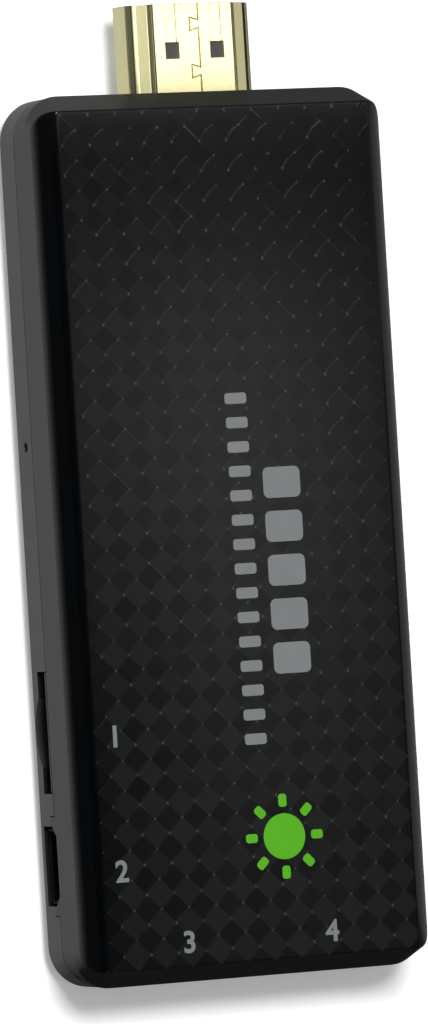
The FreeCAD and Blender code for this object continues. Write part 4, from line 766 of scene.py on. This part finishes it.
contact_gold = plated("contact_gold", (0.86, 0.60, 0.24), (0.95, 0.72, 0.34), 0.22,
                      brush=(2.0, 0.5, 2.0), wear_and_shade=(1.0, 0.85, 0.55))
dress(contact_gold, "hdmi_plug_contacts", "host_port_contacts", "dc_port_contacts",
      "otg_port_contacts", "card_socket_contacts")
core_black = moulded("core_black", (0.012, 0.012, 0.013), (0.020, 0.020, 0.021), 0.5, 0.2, 0.3,
                     soft_edge=0.05)
core_grey = moulded("core_grey", (0.045, 0.044, 0.043), (0.060, 0.059, 0.057), 0.5, 0.2, 0.3,
                    soft_edge=0.05)
dress(core_grey, "hdmi_plug_insulator")
dress(core_black, "host_port_insulator", "dc_port_insulator", "otg_port_insulator",
      "card_socket_base", "reset_switch_base")


# Sockets: folded nickel-plated sheet round black tongues. The far end has a full-size data socket
# and a small power socket, and the left wall a small data socket. Each is soldered by its legs.
nickel = plated("nickel", (0.60, 0.58, 0.54), (0.72, 0.71, 0.68), 0.3, brush=(0.4, 2.0, 2.0))
dress(nickel, "host_port_shell", "dc_port_shell", "card_socket_cover", "antenna",
      "reset_switch_cover", "reset_switch_dome")
# The small socket's shell is painted near black, as painted shade deep in its hole.
painted_shade_nickel = plated("painted_shade_nickel", (0.020, 0.020, 0.021), (0.035, 0.035, 0.036), 0.45,
                      brush=(2.0, 0.4, 2.0), wear_and_shade=(0.12, 0.12, 0.12), wear_and_shade_share=0.15)
dress(painted_shade_nickel, "otg_port_shell")


# Card socket: a push-push carriage of pale plastic with a spring and a bent wire pin of steel,
# under the stamped cover. The reset switch has a plunger of the same plastic behind the pinhole.
pale_plastic = moulded("pale_plastic", (0.50, 0.48, 0.43), (0.62, 0.60, 0.54), 0.45, 0.25, 0.25,
                       wear_and_shade=0.1, soft_edge=0.05)
dress(pale_plastic, "card_slider", "reset_plunger")
spring_steel = plated("spring_steel", (0.46, 0.46, 0.47), (0.60, 0.60, 0.61), 0.3)
dress(spring_steel, "card_slider_spring", "card_cam_pin", "board_screws")


# Circuit board: green solder mask over glass cloth, with copper traces that show paler under it.
board_green, tree, shader = finish_named("board_green")
place = in_mm(tree)
trace_rows = {"Vector": place, "Scale": 1.0, "Mortar Size": 0.06, "Brick Width": 2.3,
              "Row Height": 0.55, "Color1": (0, 0, 0, 1), "Color2": (0.25, 0.25, 0.25, 1),
              "Mortar": (1, 1, 1, 1)}
traces = put(tree, "TexBrick", trace_rows).outputs["Color"]
cloth = noise(tree, in_mm(tree, stretch=(4.0, 4.0, 1.0)), 1.0, 2.0)
mask_colour = tint(tree, traces, (0.010, 0.060, 0.028), (0.030, 0.135, 0.060))
mask_colour = tint(tree, calc(tree, "MULTIPLY", cloth, 0.35), mask_colour, (0.006, 0.035, 0.016))
tree.links.new(mask_colour, shader.inputs["Base Color"])
tree.links.new(between(tree, cloth, 0.22, 0.38), shader.inputs["Roughness"])
bumped = put(tree, "Bump", {"Strength": 0.3, "Distance": 0.02 * mm, "Height": traces})
tree.links.new(bumped.outputs[0], shader.inputs["Normal"])
dress(board_green, "main_board")


# Chips and other parts on the board: moulded resin packages, tinned cans, ferrite coils and
# ceramic blocks, all soldered down.
chip_resin = moulded("chip_resin", (0.026, 0.026, 0.027), (0.042, 0.042, 0.043), 0.55, 0.12, 0.5,
                     wear_and_shade=0.15, soft_edge=0.05)
dress(chip_resin, "processor", "memory_chips", "flash_chip", "power_chip")
tinned = plated("tinned", (0.62, 0.62, 0.60), (0.76, 0.76, 0.75), 0.34, brush=(0.5, 2.0, 1.0))
dress(tinned, "wifi_module", "crystals")
ferrite = moulded("ferrite", (0.055, 0.055, 0.057), (0.095, 0.093, 0.092), 0.7, 0.1, 0.8,
                  soft_edge=0.05)
dress(ferrite, "power_inductors")
ceramic = moulded("ceramic", (0.38, 0.27, 0.16), (0.50, 0.38, 0.25), 0.5, 0.12, 0.3, wear_and_shade=0.1,
                  soft_edge=0.03)
dress(ceramic, "capacitors")


# Heat path: a soft silicone pad on the processor, under a brushed aluminium sheet that is heat
# staked to the upper cover.
pad_grey = moulded("pad_grey", (0.36, 0.42, 0.48), (0.45, 0.51, 0.56), 0.8, 0.3, 0.6, wear_and_shade=0.0,
                   soft_edge=0.08)
dress(pad_grey, "thermal_pad")
aluminium = plated("aluminium", (0.74, 0.74, 0.75), (0.84, 0.84, 0.85), 0.36,
                   brush=(3.0, 0.12, 1.0))
dress(aluminium, "heat_spreader")
